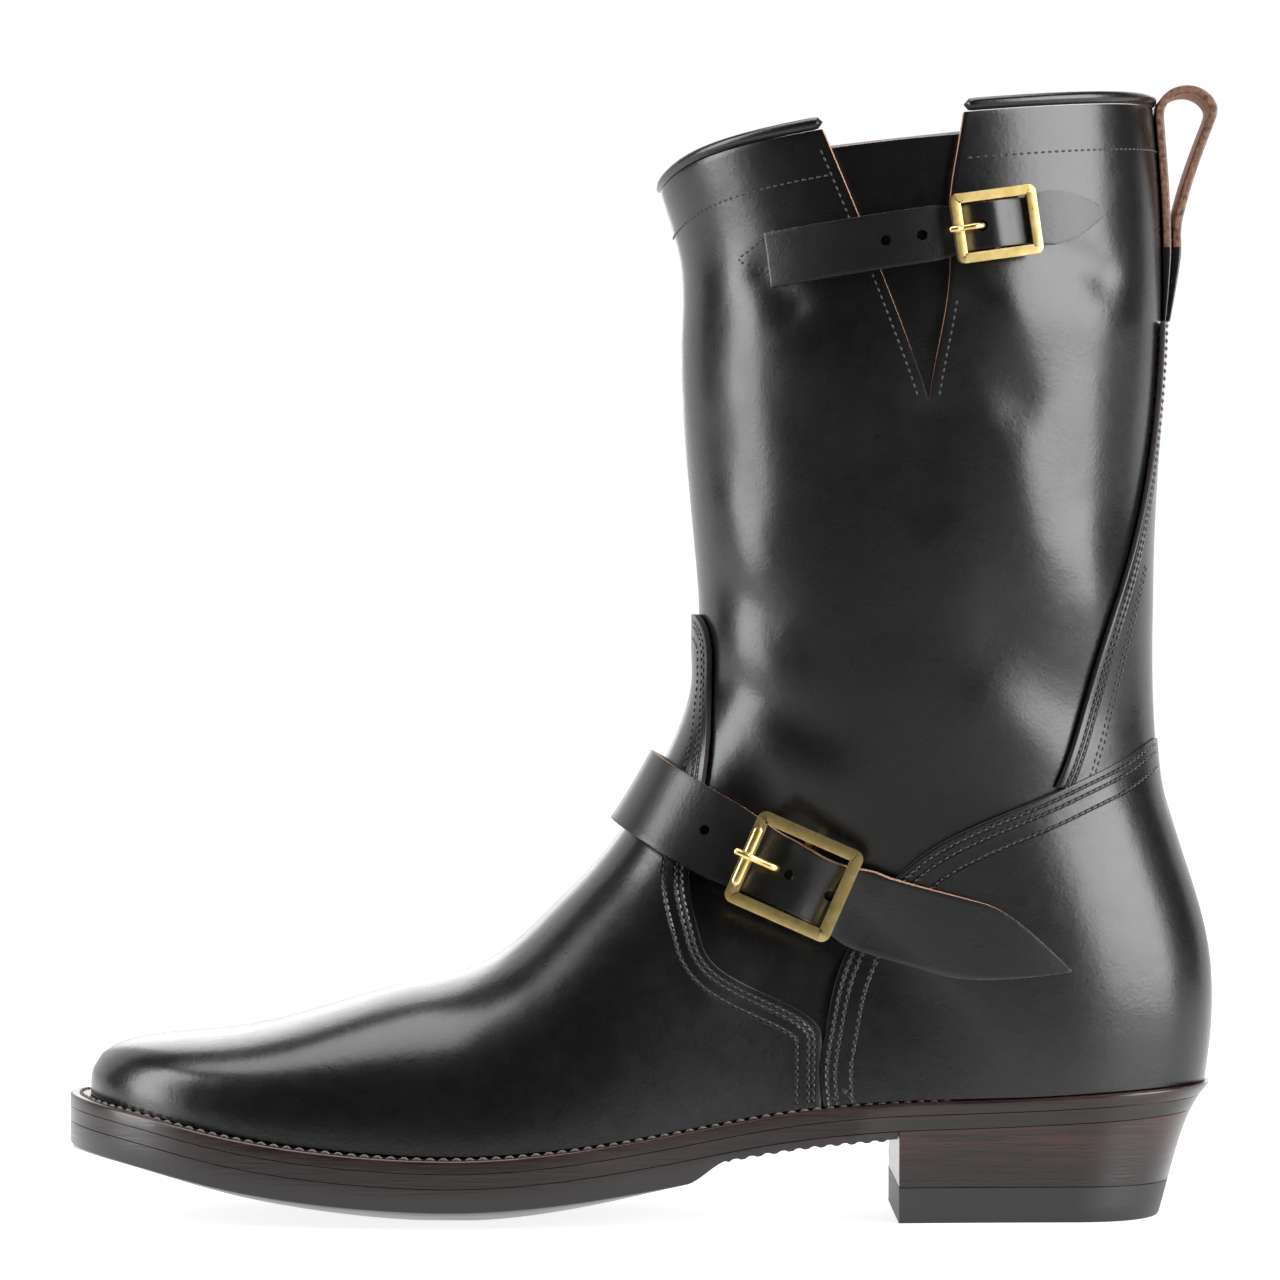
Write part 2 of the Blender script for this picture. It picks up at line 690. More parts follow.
def leather_look(name, seams=(), gloss=0.27, grain=0.13):
    made, tree, shader = finish_named(name, LEATHER_BLACK, gloss, coat=0.12, coat_roughness=0.16)
    cloud = noise(tree, 26.0, 4.0)
    patch = noise(tree, 210.0, 5.0, roughness=0.6)
    worn = maths(tree, cloud, patch, "MULTIPLY")
    tint(tree, shader, spread(tree, worn, 0.0, 1.0, 0.22, 0.5), LEATHER_BLACK, LEATHER_WORN)
    wander = spread(tree, maths(tree, cloud, patch), gloss - 0.02, gloss + 0.03, 0.7, 1.3)
    tree.links.new(wander, shader.inputs["Roughness"])
    pores = add_node(tree, "ShaderNodeTexVoronoi", scale=1150.0)
    place = add_node(tree, "ShaderNodeTexCoord")
    tree.links.new(place.outputs["Object"], pores.inputs["Vector"])
    fine = noise(tree, 900.0, 4.0, roughness=0.65)
    soft = noise(tree, 95.0, 3.0)
    heights = [(soft, 0.14, 0.0010), (fine, grain, 0.00022),
               (pores.outputs["Distance"], grain * 0.8, 0.00012)]
    if seams:
        hem = add_node(tree, "ShaderNodeAttribute", attribute_name="hem").outputs["Fac"]
        lowest = None
        for seam in seams:
            off = maths(tree, maths(tree, hem, float(seam), "SUBTRACT"), 0.0, "ABSOLUTE")
            rise = spread(tree, off, 0.0, 1.0, 0.1, GROOVE_HALF)
            lowest = rise if lowest is None else maths(tree, lowest, rise, "MINIMUM")
        heights.append((lowest, 0.8, 0.00045))
    bump(tree, shader, heights)
    return made


def cut_edge_look(name, dark, light):
    made, tree, shader = finish_named(name, light, 0.75)
    fibre = noise(tree, 1500.0, 5.0, roughness=0.7)
    tint(tree, shader, spread(tree, fibre, 0.0, 1.0, 0.35, 0.65), dark, light)
    bump(tree, shader, [(fibre, 0.6, 0.0003)])
    return made


VAMP_SEAMS = (1.9, 3.3, 6.4)
COUNTER_SEAMS = (1.7, 3.9, 8.0)
STAY_SEAMS = (2.2, 3.6)
LEATHER = leather_look("black_leather")
VAMP_LEATHER = leather_look("vamp_leather", VAMP_SEAMS)
COUNTER_LEATHER_LOOK = leather_look("counter_leather", COUNTER_SEAMS)
STAY_LEATHER = leather_look("stay_leather", STAY_SEAMS)
STRAP_LEATHER = leather_look("strap_leather", gloss=0.36, grain=0.25)
RAW_EDGE = cut_edge_look("raw_edge", (0.16, 0.065, 0.040), (0.56, 0.33, 0.22))
DARK_EDGE = cut_edge_look("inked_edge", (0.012, 0.009, 0.008), (0.036, 0.024, 0.019))
LINING = cut_edge_look("lining", (0.34, 0.20, 0.12), (0.52, 0.34, 0.21))


# %% [markdown]
# ## Thread, brass and rubber
#
# The thread is waxed black nylon, a little greyer than the leather so that single stitches read.
# The heavier thread of the welt is paler. The buckles are solid brass, polished, with faint
# brushing and an uneven film on it. The top lift under the heel is plain black rubber.

# %% Thread, brass and rubber
THREAD, tree, shader = finish_named("black_thread", (0.030, 0.029, 0.029), 0.36)
bump(tree, shader, [(noise(tree, 4000.0, 2.0), 0.5, 0.0001)])
BRASS, tree, shader = finish_named("polished_brass", (0.86, 0.64, 0.25), 0.3, metallic=1.0)
film = noise(tree, 240.0, 4.0)
tint(tree, shader, spread(tree, film, 0.0, 1.0, 0.35, 0.7), (0.80, 0.58, 0.19), (0.96, 0.77, 0.36))
tree.links.new(spread(tree, noise(tree, 900.0, 3.0), 0.24, 0.36), shader.inputs["Roughness"])
bump(tree, shader, [(noise(tree, 500.0, 3.0, (1, 1, 6)), 0.12, 0.0002)])
RUBBER, tree, shader = finish_named("black_rubber", (0.012, 0.012, 0.012), 0.5)
bump(tree, shader, [(noise(tree, 1400.0, 4.0), 0.3, 0.0002)])
THREAD_PALE, tree, shader = finish_named("welt_thread", (0.10, 0.085, 0.078), 0.5)
bump(tree, shader, [(noise(tree, 4000.0, 2.0), 0.5, 0.0001)])


# %% [markdown]
# ## Burnished edges of the sole
#
# Welt, midsole and outsole are trimmed flush, inked and burnished with hot wax: a dark burgundy
# that turns black towards the ground, with a bright worn line along the top arris. Fine streaks
# run along the edge, from the trimming iron. The heel is built of leather lifts, so its streaks
# are stronger and lie in level layers.

# %% Burnished edges
def burnished_look(name, dark, light, layer, low, high, streak=0.5):
    """Inked edge: layers of streaks, dark below height `low` and bright above `high`."""
    made, tree, shader = finish_named(name, dark, 0.3, coat=0.15, coat_roughness=0.12)
    stripes = noise(tree, layer, 4.0, (0.05, 0.05, 1.0), 0.7)
    broad = noise(tree, 45.0, 3.0)
    share = maths(tree, spread(tree, stripes, 0.0, 1.0, 0.38, 0.66), broad, "MULTIPLY")
    place = add_node(tree, "ShaderNodeAttribute", attribute_name="rise").outputs["Fac"]
    fade = spread(tree, place, 0.0, 1.0, low, high)
    share = maths(tree, share, fade, "MULTIPLY")
    tint(tree, shader, maths(tree, share, 2.1, "MULTIPLY"), dark, light)
    tree.links.new(spread(tree, stripes, 0.22, 0.42), shader.inputs["Roughness"])
    bump(tree, shader, [(stripes, streak, 0.00018), (broad, 0.1, 0.0008)])
    return made


INK = (0.0042, 0.0026, 0.0026)
DEEP_BURGUNDY = (0.0062, 0.0030, 0.0028)
WELT_EDGE = burnished_look("burgundy_welt", DEEP_BURGUNDY, (0.030, 0.0095, 0.0075),
                           900.0, 0.0, 1.0)
MIDSOLE_EDGE = burnished_look("burgundy_midsole", DEEP_BURGUNDY, (0.018, 0.0055, 0.0045),
                              900.0, 0.5, 1.0)
SOLE_EDGE_LOOK = burnished_look("inked_outsole", INK, (0.012, 0.0042, 0.0036), 900.0, 0.0, 1.1)
HEEL_LOOK = burnished_look("stacked_leather", DEEP_BURGUNDY, (0.030, 0.0098, 0.0070),
                           620.0, 0.2, 0.8, 0.9)


# %% [markdown]
# ## Building sheets of leather
#
# A piece of leather starts as a flat grid and is laid on the skin, row by row. Solidify gives it
# its real thickness, and a narrow bevel takes the sharpness off the cut edge, as a maker's edge
# tool does. Grid and modifiers are applied, so that the finished piece is one closed mesh.

# %% Sheet helpers
def finish_piece(piece, name, *nodes, slot="black_leather"):
    """Name a piece, let it ride with the boot and say what it stands for."""
    piece.name = name
    piece.data.name = name
    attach(piece, "root")
    if nodes:
        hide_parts(*nodes)
    piece.data.update()
    count = sum(len(f.vertices) - 2 for f in piece.data.polygons)
    print(name, count, "triangles")
    bpy.ops.object.select_all(action="DESELECT")
    return piece


def apply_all(piece):
    bpy.context.view_layer.objects.active = piece
    for modifier in list(piece.modifiers):
        bpy.ops.object.modifier_apply(modifier=modifier.name)


def laid_grid(points):
    """A flat grid whose points are moved to rows of places in space."""
    rows, columns = points.shape[:2]
    bpy.ops.mesh.primitive_grid_add(x_subdivisions=columns - 1, y_subdivisions=rows - 1)
    piece = bpy.context.object
    assert len(piece.data.vertices) == rows * columns
    piece.data.vertices.foreach_set("co", points.astype(np.float32).ravel())
    piece.data.update()
    return piece


def in_edit_mode(piece, *steps):
    bpy.context.view_layer.objects.active = piece
    bpy.ops.object.mode_set(mode="EDIT")
    for step in steps:
        step()
    bpy.ops.object.mode_set(mode="OBJECT")


def merge(distance=1e-5):
    bpy.ops.mesh.select_all(action="SELECT")
    bpy.ops.mesh.remove_doubles(threshold=distance)


def thicken(piece, thick, looks, soften=0.0004, rim=1, inner=0, soft_look=-1):
    """Give a sheet its thickness inwards, a rim finish and a softened cut edge."""
    for look in looks:
        piece.data.materials.append(look)
    shell = piece.modifiers.new("thickness", "SOLIDIFY")
    shell.thickness = thick
    shell.offset = -1.0
    shell.use_even_offset = False
    shell.material_offset_rim = rim
    shell.material_offset = inner
    if soften:
        edge = piece.modifiers.new("softened edge", "BEVEL")
        edge.width = soften
        edge.segments = 2
        edge.limit_method = "ANGLE"
        edge.angle_limit = math.radians(50)
        edge.use_clamp_overlap = True
        edge.material = soft_look
    apply_all(piece)
    piece.data.shade_smooth()
    piece.data.set_sharp_from_angle(angle=math.radians(60))


def ink_under_edges(piece, raw, inked, until=10.0):
    """Cut edges that look down are inked; those that look up keep the raw finish."""
    for face in piece.data.polygons:
        if face.material_index == raw and face.normal.z < 0.05 and face.center.x < until:
            face.material_index = inked


def set_attribute(piece, name, values):
    made = piece.data.attributes.new(name, "FLOAT", "POINT")
    made.data.foreach_set("value", np.asarray(values, np.float32).ravel())


def distance_to_line(points, line, batch=4000):
    """Distance of each point, in millimetres, to a line given by close points."""
    flat = points.reshape(-1, 3)
    found = np.empty(len(flat))
    for start in range(0, len(flat), batch):
        part = flat[start:start + batch]
        gap = part[:, None, :] - line[None, :, :]
        found[start:start + batch] = np.sqrt(np.min(np.sum(gap * gap, axis=-1), axis=1))
    return found.reshape(points.shape[:-1]) * 1000


# %% [markdown]
# ## The upper
#
# The quarters and the shaft are one hollow wall of leather. It is open underneath, at the collar
# and at the V notch on the outer side, whose cut edges stay raw. The grid starts at the back edge
# of the notch and runs once round the boot to the front edge; below the notch its first and last
# columns are the same points and are merged.

# %% Upper
APEX_TURN = math.pi / 2
for _ in range(4):
    APEX_LEVEL = level_at(NOTCH_APEX_Z, APEX_TURN)
    APEX_TURN = float(crossing(APEX_LEVEL, lambda z: NOTCH_APEX_X + 0 * z, 0.5, 2.6)[0])
print("bottom of the notch: turn", round(math.degrees(APEX_TURN), 1),
      "level", round(APEX_LEVEL, 3))
UPPER_COLUMNS = 270
NOTCHED_ROWS = 46


def upper_rows():
    levels = LEVELS[(LEVELS < APEX_LEVEL - 0.002)][::2]
    return np.concatenate([levels, np.linspace(APEX_LEVEL, 1.0, NOTCHED_ROWS)])


def make_upper():
    levels = upper_rows()
    start = np.full(len(levels), APEX_TURN)
    end = start + 2 * math.pi
    open_rows = levels > APEX_LEVEL + 1e-6
    start[open_rows] = back_turn(levels[open_rows])
    end[open_rows] = front_turn(levels[open_rows]) + 2 * math.pi
    share = np.linspace(0.0, 1.0, UPPER_COLUMNS + 1)
    turns = start[:, None] + (end - start)[:, None] * share[None, :]
    points, _ = skin(levels[:, None], turns)
    piece = laid_grid(points)
    in_edit_mode(piece, merge)
    thicken(piece, WALL, (LEATHER, RAW_EDGE, LINING), rim=1, inner=2)
    return finish_piece(piece, "leather_upper", "upper")


make_upper()


# %% [markdown]
# ## Vamp, counter and back stay
#
# These are laid over the upper and sewn down: the vamp over the forefoot with its tongue up the
# front of the shaft, the counter round the heel and the stay up the back. Each is one sheet whose
# two ends follow a border, a line of place against height. The distance of each point to that
# border is kept as an attribute, and the seams' grooves are read from it.

# %% Overlays
BorderRow = namedtuple("BorderRow", "up reach")
# Back edge of the vamp from the feather line to the tip of its tongue: height as a share of
# the boot height, place along the length
VAMP_EDGE = [
    BorderRow(0.060, 0.6525),
    BorderRow(0.120, 0.6525),
    BorderRow(0.160, 0.6530),
    BorderRow(0.175, 0.6500),
    BorderRow(0.190, 0.6320),
    BorderRow(0.205, 0.601),
    BorderRow(0.225, 0.566),
    BorderRow(0.255, 0.549),
    BorderRow(0.300, 0.541),
    BorderRow(0.370, 0.552),
    BorderRow(0.440, 0.561),
    BorderRow(0.490, 0.5625),
    BorderRow(0.522, 0.5605),
    BorderRow(0.535, 0.5560),
    BorderRow(0.543, 0.5510),
]
VAMP_TIP = 0.5415         # top of the tongue, share of the boot height
# Front and top edge of the counter
COUNTER_EDGE = [
    BorderRow(0.090, 0.657),
    BorderRow(0.120, 0.6525),
    BorderRow(0.145, 0.6525),
    BorderRow(0.170, 0.6565),
    BorderRow(0.195, 0.661),
    BorderRow(0.225, 0.669),
    BorderRow(0.250, 0.680),
    BorderRow(0.285, 0.700),
    BorderRow(0.315, 0.725),
    BorderRow(0.343, 0.764),
    BorderRow(0.360, 0.800),
    BorderRow(0.377, 0.840),
    BorderRow(0.396, 0.880),
    BorderRow(0.414, 0.915),
    BorderRow(0.430, 0.940),
    BorderRow(0.440, 0.965),
]
COUNTER_TOP = 0.428       # top of the counter at the back
# Front edge of the back stay
STAY_EDGE = [
    BorderRow(0.370, 0.845),
    BorderRow(0.410, 0.862),
    BorderRow(0.460, 0.877),
    BorderRow(0.515, 0.893),
    BorderRow(0.590, 0.917),
    BorderRow(0.650, 0.932),
    BorderRow(0.700, 0.9405),
    BorderRow(0.800, 0.9475),
    BorderRow(0.900, 0.9475),
]
STAY_TOP = 0.805          # where the pull loop takes over from the stay


def border(table):
    return spline(column(table, "up", BOOT_HEIGHT), along(column(table, "reach")))


vamp_edge = border(VAMP_EDGE)
counter_edge = border(COUNTER_EDGE)
stay_edge = border(STAY_EDGE)


def overlay_levels(low, high, step=0.0033):
    return np.linspace(low, high, max(8, int((high - low) / step)))


def make_overlay(name, node, levels, first, last, columns, clear, thick, looks, border):
    share = np.linspace(0.0, 1.0, columns + 1)
    turns = first[:, None] + (last - first)[:, None] * share[None, :]
    points, normals = skin(levels[:, None], turns)
    hem = distance_to_line(points, border)
    piece = laid_grid(points + normals * (clear + thick))
    set_attribute(piece, "hem", hem)
    thicken(piece, thick, looks)
    return finish_piece(piece, name, node)


def border_line(levels, turns, spare=4):
    """Close points along a border, for measuring from it."""
    fine = np.linspace(0, len(levels) - 1, len(levels) * spare)
    number = np.arange(len(levels))
    return skin(np.interp(fine, number, levels), np.interp(fine, number, turns))[0]


VAMP_COLUMNS = 248
COUNTER_COLUMNS = 200
STAY_COLUMNS = 60
CLOSE_ROWS = 0.03         # below this level the rows lie as close as those of the skin

# The outside and the inside of the foot mirror each other: turns run both ways from the toe
vamp_top = level_at(VAMP_TIP * BOOT_HEIGHT, 0.0)
low_levels = LEVELS[LEVELS < CLOSE_ROWS][::2]
vamp_levels = np.concatenate([low_levels, overlay_levels(CLOSE_ROWS, vamp_top - 0.012),
                              np.linspace(vamp_top - 0.011, vamp_top, 12)])
vamp_outer = crossing(vamp_levels, vamp_edge, 0.0, math.pi)
vamp_inner = -crossing(vamp_levels, vamp_edge, 2 * math.pi, math.pi) + 2 * math.pi
vamp_border = np.concatenate([border_line(vamp_levels, vamp_outer),
                              border_line(vamp_levels, -vamp_inner)])
make_overlay("vamp_leather", "vamp", vamp_levels, -vamp_inner, vamp_outer, VAMP_COLUMNS,
             OVERLAY_GAP, OVERLAY, (VAMP_LEATHER, DARK_EDGE), vamp_border)

counter_high = level_at(COUNTER_TOP * BOOT_HEIGHT, math.pi)
counter_levels = np.concatenate([low_levels, overlay_levels(CLOSE_ROWS, counter_high)])
counter_outer = crossing(counter_levels, counter_edge, 0.0, math.pi)
counter_inner = crossing(counter_levels, counter_edge, 2 * math.pi, math.pi)
counter_border = np.concatenate([border_line(counter_levels, counter_outer),
                                 border_line(counter_levels, counter_inner)])
make_overlay("counter_leather", "counter", counter_levels, counter_outer, counter_inner,
             COUNTER_COLUMNS, OVERLAY_GAP, COUNTER_LEATHER,
             (COUNTER_LEATHER_LOOK, DARK_EDGE), counter_border)

stay_low = level_at(STAY_EDGE[0].up * BOOT_HEIGHT, math.pi)
stay_high = level_at(STAY_TOP * BOOT_HEIGHT, math.pi)
stay_levels = overlay_levels(stay_low, stay_high)
stay_outer = crossing(stay_levels, stay_edge, 0.0, math.pi)
stay_inner = crossing(stay_levels, stay_edge, 2 * math.pi, math.pi)
stay_border = np.concatenate([border_line(stay_levels, stay_outer),
                              border_line(stay_levels, stay_inner)])
make_overlay("back_stay_leather", "back_stay", stay_levels, stay_outer, stay_inner,
             STAY_COLUMNS, OVERLAY_GAP, OVERLAY, (STAY_LEATHER, DARK_EDGE), stay_border)


# %% [markdown]
# ## The gusset
#
# Behind the notch lies a soft folded panel of thinner leather, so that the shaft can open for the
# calf. It is one sheet on the inner face of the wall, with its raw top edge a little below the
# collar.

# %% Gusset
GUSSET_THICK = 0.0013
GUSSET_MARGIN = 0.16
GUSSET_TOP = 0.985
GUSSET_ROWS = 60


def make_gusset():
    levels = np.linspace(APEX_LEVEL - 0.03, GUSSET_TOP, GUSSET_ROWS)
    above = levels > APEX_LEVEL + 1e-6
    first, last = np.full(GUSSET_ROWS, APEX_TURN), np.full(GUSSET_ROWS, APEX_TURN)
    first[above] = front_turn(levels[above])
    last[above] = back_turn(levels[above])
    share = np.linspace(0.0, 1.0, GUSSET_ROWS + 1)
    turns = (first - GUSSET_MARGIN)[:, None] + (last - first + 2 * GUSSET_MARGIN)[:, None] * share
    points, normals = skin(levels[:, None], turns)
    piece = laid_grid(points - normals * (WALL + STAY_GAP))
    thicken(piece, GUSSET_THICK, (LEATHER, RAW_EDGE))
    return finish_piece(piece, "gusset_leather", "gusset")


make_gusset()


# %% [markdown]
# ## Solid pieces from rows of sections
#
# Beads, loops, bars and pins are all rows of sections along a path. The grid is laid with its
# last column on its first one and then merged into a tube. An end is closed by letting the last
# sections shrink to a point, which rounds it off as well.

# %% Tube helpers
def tube(name, sections, looks, *nodes, slot="black_leather", sharp=45.0, keep=False):
    """Closed body from rows of sections; each section is a loop of points."""
    points = np.array(sections)
    middle = points.mean(axis=1, keepdims=True)
    ends = [middle[:1] + 0 * points[:1], points, middle[-1:] + 0 * points[-1:]]
    points = np.concatenate(ends)
    points = np.concatenate([points, points[:, :1]], axis=1)
    piece = laid_grid(points)
    in_edit_mode(piece, lambda: merge(2e-6),
                 lambda: bpy.ops.mesh.normals_make_consistent(inside=False))
    for look in looks:
        piece.data.materials.append(look)
    piece.data.shade_smooth()
    piece.data.set_sharp_from_angle(angle=math.radians(sharp))
    return piece if keep else finish_piece(piece, name, *nodes, slot=slot)


def directions(path):
    ahead = np.gradient(path, axis=0)
    return ahead / np.linalg.norm(ahead, axis=-1, keepdims=True)


def round_sections(path, side, out, radius, count=12, flat=1.0):
    """Round sections along a path; side and out span each section."""
    turns = np.linspace(0, 2 * math.pi, count, endpoint=False)
    radius = np.broadcast_to(radius, (len(path),))
    return (path[:, None, :]
            + radius[:, None, None] * (np.cos(turns)[None, :, None] * side[:, None, :]
                                       + flat * np.sin(turns)[None, :, None] * out[:, None, :]))


def rounded_ends(length, radius, count):
    """Stations along a bar and its radius there, with both ends rounded."""
    t = np.linspace(0, math.pi / 2, 7)
    start = radius * (1 - np.cos(t))
    shape = radius * np.sin(t)
    middle = np.linspace(radius, length - radius, count)
    stations = np.concatenate([start[:-1], middle, length - start[::-1][1:]])
    sizes = np.concatenate([shape[:-1], np.full(count, radius), shape[::-1][1:]])
    return stations, np.maximum(sizes, radius * 0.02)


# %% [markdown]
# ## The rolled collar
#
# At the top the leather is turned over a cord and stitched, which leaves a firm bead on the rim
# and a dark groove under it. The bead is swept along the rim from one edge of the notch round to
# the other, and its ends are rounded off.

# %% Collar bead
BINDING = 0.0034
BINDING_WIDTH = 0.0042
BINDING_END = 0.0022      # length of its rounded ends
BINDING_STEPS = 300


def make_collar():
    start = float(back_turn(1.0)[0])
    end = float(front_turn(1.0)[0]) + 2 * math.pi
    turns = np.linspace(start, end, BINDING_STEPS)
    rim, side = skin(np.ones_like(turns), turns)
    side[:, 2] = 0.0
    side /= np.linalg.norm(side, axis=1, keepdims=True)
    up = np.tile([0.0, 0.0, 1.0], (len(turns), 1))
    path = rim - side * WALL / 2 + up * (OVERLAY_GAP * 0.4 + BINDING / 2)
    run = np.concatenate([[0], np.cumsum(np.linalg.norm(np.diff(path, axis=0), axis=1))])
    ends = np.clip(np.minimum(run, run[-1] - run) / BINDING_END, 0.0, 1.0)
    size = np.sqrt(np.maximum(1 - (1 - ends) ** 2, 0.0004)) * BINDING_WIDTH / 2
    sections = round_sections(path, side, up, size, 18, BINDING / BINDING_WIDTH)
    return tube("collar_bead", sections, (LEATHER,), "collar_binding")


make_collar()


# %% [markdown]
# ## The pull loop
#
# A doubled strap stands up behind the collar: its outer face is black, its flesh side and its cut
# edges are natural leather, darkened by wax. It follows the same path as its solid, and the
# finish of each face is chosen by the way the face looks.

# %% Pull loop
LOOP_WIDTH = 0.0170
LOOP_THICK = 0.0023
LOOP_FOOT = 0.8066 * BOOT_HEIGHT    # its ends meet the top of the back stay
LOOP_JOIN = 0.8927 * BOOT_HEIGHT
LOOP_TOP = BOOT_HEIGHT + 0.0060
LOOP_ARCH = 0.0080
LOOP_REACH = LENGTH / 2 + 0.0010
LOOP_SIDE = float(leg_centre(LOOP_JOIN))
LOOP_SKIVE = 0.018                  # both ends are pared thin over this height, and sewn down
LOOP_PARED = 0.35
LOOP_ROUND = 0.0005
LOOP_EDGE, tree, shader = finish_named("loop_edge", (0.25, 0.11, 0.06), 0.5, coat=0.2)
fibre = noise(tree, 700.0, 5.0, roughness=0.7)
tint(tree, shader, spread(tree, fibre, 0.0, 1.0, 0.36, 0.64),
     (0.022, 0.010, 0.007), (0.23, 0.105, 0.058))
bump(tree, shader, [(fibre, 0.7, 0.0004)])
LOOP_FLESH = cut_edge_look("loop_flesh", (0.22, 0.10, 0.055), (0.52, 0.30, 0.18))


def pared(height):
    """Share of the loop's thickness that is left at this height."""
    return np.interp(height, [LOOP_FOOT, LOOP_FOOT + LOOP_SKIVE], [LOOP_PARED, 1.0])


def loop_path():
    half = LOOP_THICK / 2
    heights = np.linspace(LOOP_FOOT, LOOP_TOP - LOOP_ARCH, 40)
    inner = [(float(leg_back(z) + half * pared(z)), z) for z in heights]
    left, right = inner[-1][0], LOOP_REACH - half
    middle, radius = (left + right) / 2, (right - left) / 2
    rise = LOOP_TOP - half - heights[-1]
    arch = [(middle - radius * math.cos(t), heights[-1] + rise * math.sin(t))
            for t in np.linspace(0.08, 0.95 * math.pi, 36)]
    joint = float(leg_back(LOOP_JOIN)) + 3 * half + GAP
    knee = spline([LOOP_JOIN, LOOP_JOIN + 0.010, heights[-1] + 0.002],
                  [joint, joint + 0.0026, right + 0.0002])
    outer = [(float(knee(z)), z) for z in np.linspace(heights[-1], LOOP_JOIN, 30)]
    tail = [(float(leg_back(z) + 3 * half * pared(z)) + GAP, z)
            for z in np.linspace(LOOP_JOIN - 0.001, LOOP_FOOT, 22)]
    return np.array(inner + arch + outer + tail)


def rounded_box(half_a, half_b, radius, steps=4):
    """Corner-rounded outline, counted from the corner where both are positive."""
    points = []
    for quarter, (sa, sb) in enumerate(((1, 1), (-1, 1), (-1, -1), (1, -1))):
        for t in (quarter + np.linspace(0, 1, steps)) * math.pi / 2:
            points.append((sa * (half_a - radius) + radius * math.cos(t),
                           sb * (half_b - radius) + radius * math.sin(t)))
    return np.array(points)


def make_loop():
    path = loop_path()
    for _ in range(6):
        path[1:-1] = (path[:-2] + 2 * path[1:-1] + path[2:]) / 4
    ahead = directions(path)
    outline = rounded_box(LOOP_THICK / 2, LOOP_WIDTH / 2, LOOP_ROUND)
    sections = []
    for (x, z), (dx, dz) in zip(path, ahead):
        thin = float(pared(z))
        sections.append([(x - dz * a * thin, LOOP_SIDE + b, z + dx * a * thin)
                         for a, b in outline])
    piece = tube("pull_loop_leather", sections, (LEATHER, LOOP_EDGE, LOOP_FLESH), keep=True)
    for face in piece.data.polygons:
        place = np.array([face.center.x, face.center.z])
        step = int(np.argmin(np.sum((path - place) ** 2, axis=1)))
        away = place - path[step]
        outward = ahead[step][0] * away[1] - ahead[step][1] * away[0]
        if abs(face.normal.y) > 0.6 and face.center.z > LOOP_JOIN - 0.006:
            face.material_index = 1
        elif face.center.z > LOOP_JOIN and outward < 0:
            face.material_index = 2
    return finish_piece(piece, "pull_loop_leather", "pull_loop")


make_loop()


# %% [markdown]
# ## Straps
#
# Each strap is a band that runs round the boot in a tilted plane, a little above the skin. The
# lift table gives its height over the skin turn by turn, so it climbs over the buckle's middle
# bar and lies down again. The tip comes to a point in a curve. Its cut edges are left natural,
# which shows as a thin tan line along the top. The holes are real: drilled by a Boolean.

# %% Strap shapes
TurnRow = namedtuple("TurnRow", "turn rise")
LiftRow = namedtuple("LiftRow", "turn lift")

STRAP_THICK = 0.0023
FRAME_CLEAR = 0.0012      # between a strap's edge and the frame it passes through
CHAPE_THICK = 0.0014
TOP_CHAPE_THICK = 0.0010
CHAPE_WIDTH = 0.72        # share of its strap's width

# Instep strap: turn in degrees round the boot from the front, lateral side positive
INSTEP_HALF = 0.0105
INSTEP_TILT = math.radians(24)
INSTEP_CENTRE = (0.1967 * LENGTH, 0.0010, 0.2896 * BOOT_HEIGHT)
INSTEP_LINE = [
    TurnRow(-125, 0.0000),
    TurnRow(-100, -0.0020),
    TurnRow(-62, -0.0035),
    TurnRow(-38, -0.0030),
    TurnRow(0, 0.0000),
    TurnRow(38, -0.0034),
    TurnRow(62, -0.0038),
    TurnRow(100, -0.0024),
    TurnRow(148, 0.0032),
]
INSTEP_START = -118
INSTEP_TIP = 148
INSTEP_TAPER = 22         # degrees over which the tip comes to a point
INSTEP_BUCKLE_TURN = 62
INSTEP_BUCKLE = (0.0296, 0.0256)
INSTEP_BAR = 0.0032
INSTEP_FRAME = 0.0103     # height of the frame's bars above the boot
INSTEP_CREST = 0.0076     # lift of the strap where it passes over the middle bar
INSTEP_DIP = 0.0048       # how far the middle bar lies below the frame
INSTEP_CHAPE_END = 85     # degrees; the counter's front edge catches it there
INSTEP_NECK = 14          # degrees over which the strap narrows beside its frame
INSTEP_LIFT = [
    LiftRow(-125, 0.0036),
    LiftRow(-60, 0.0036),
    LiftRow(-20, 0.0040),
    LiftRow(20, 0.0040),
    LiftRow(34, 0.0038),
    LiftRow(44, 0.0040),
    LiftRow(62, INSTEP_CREST),
    LiftRow(76, 0.0050),
    LiftRow(88, 0.0040),
    LiftRow(108, 0.0038),
    LiftRow(125, 0.0038),
    LiftRow(148, 0.0036),
]

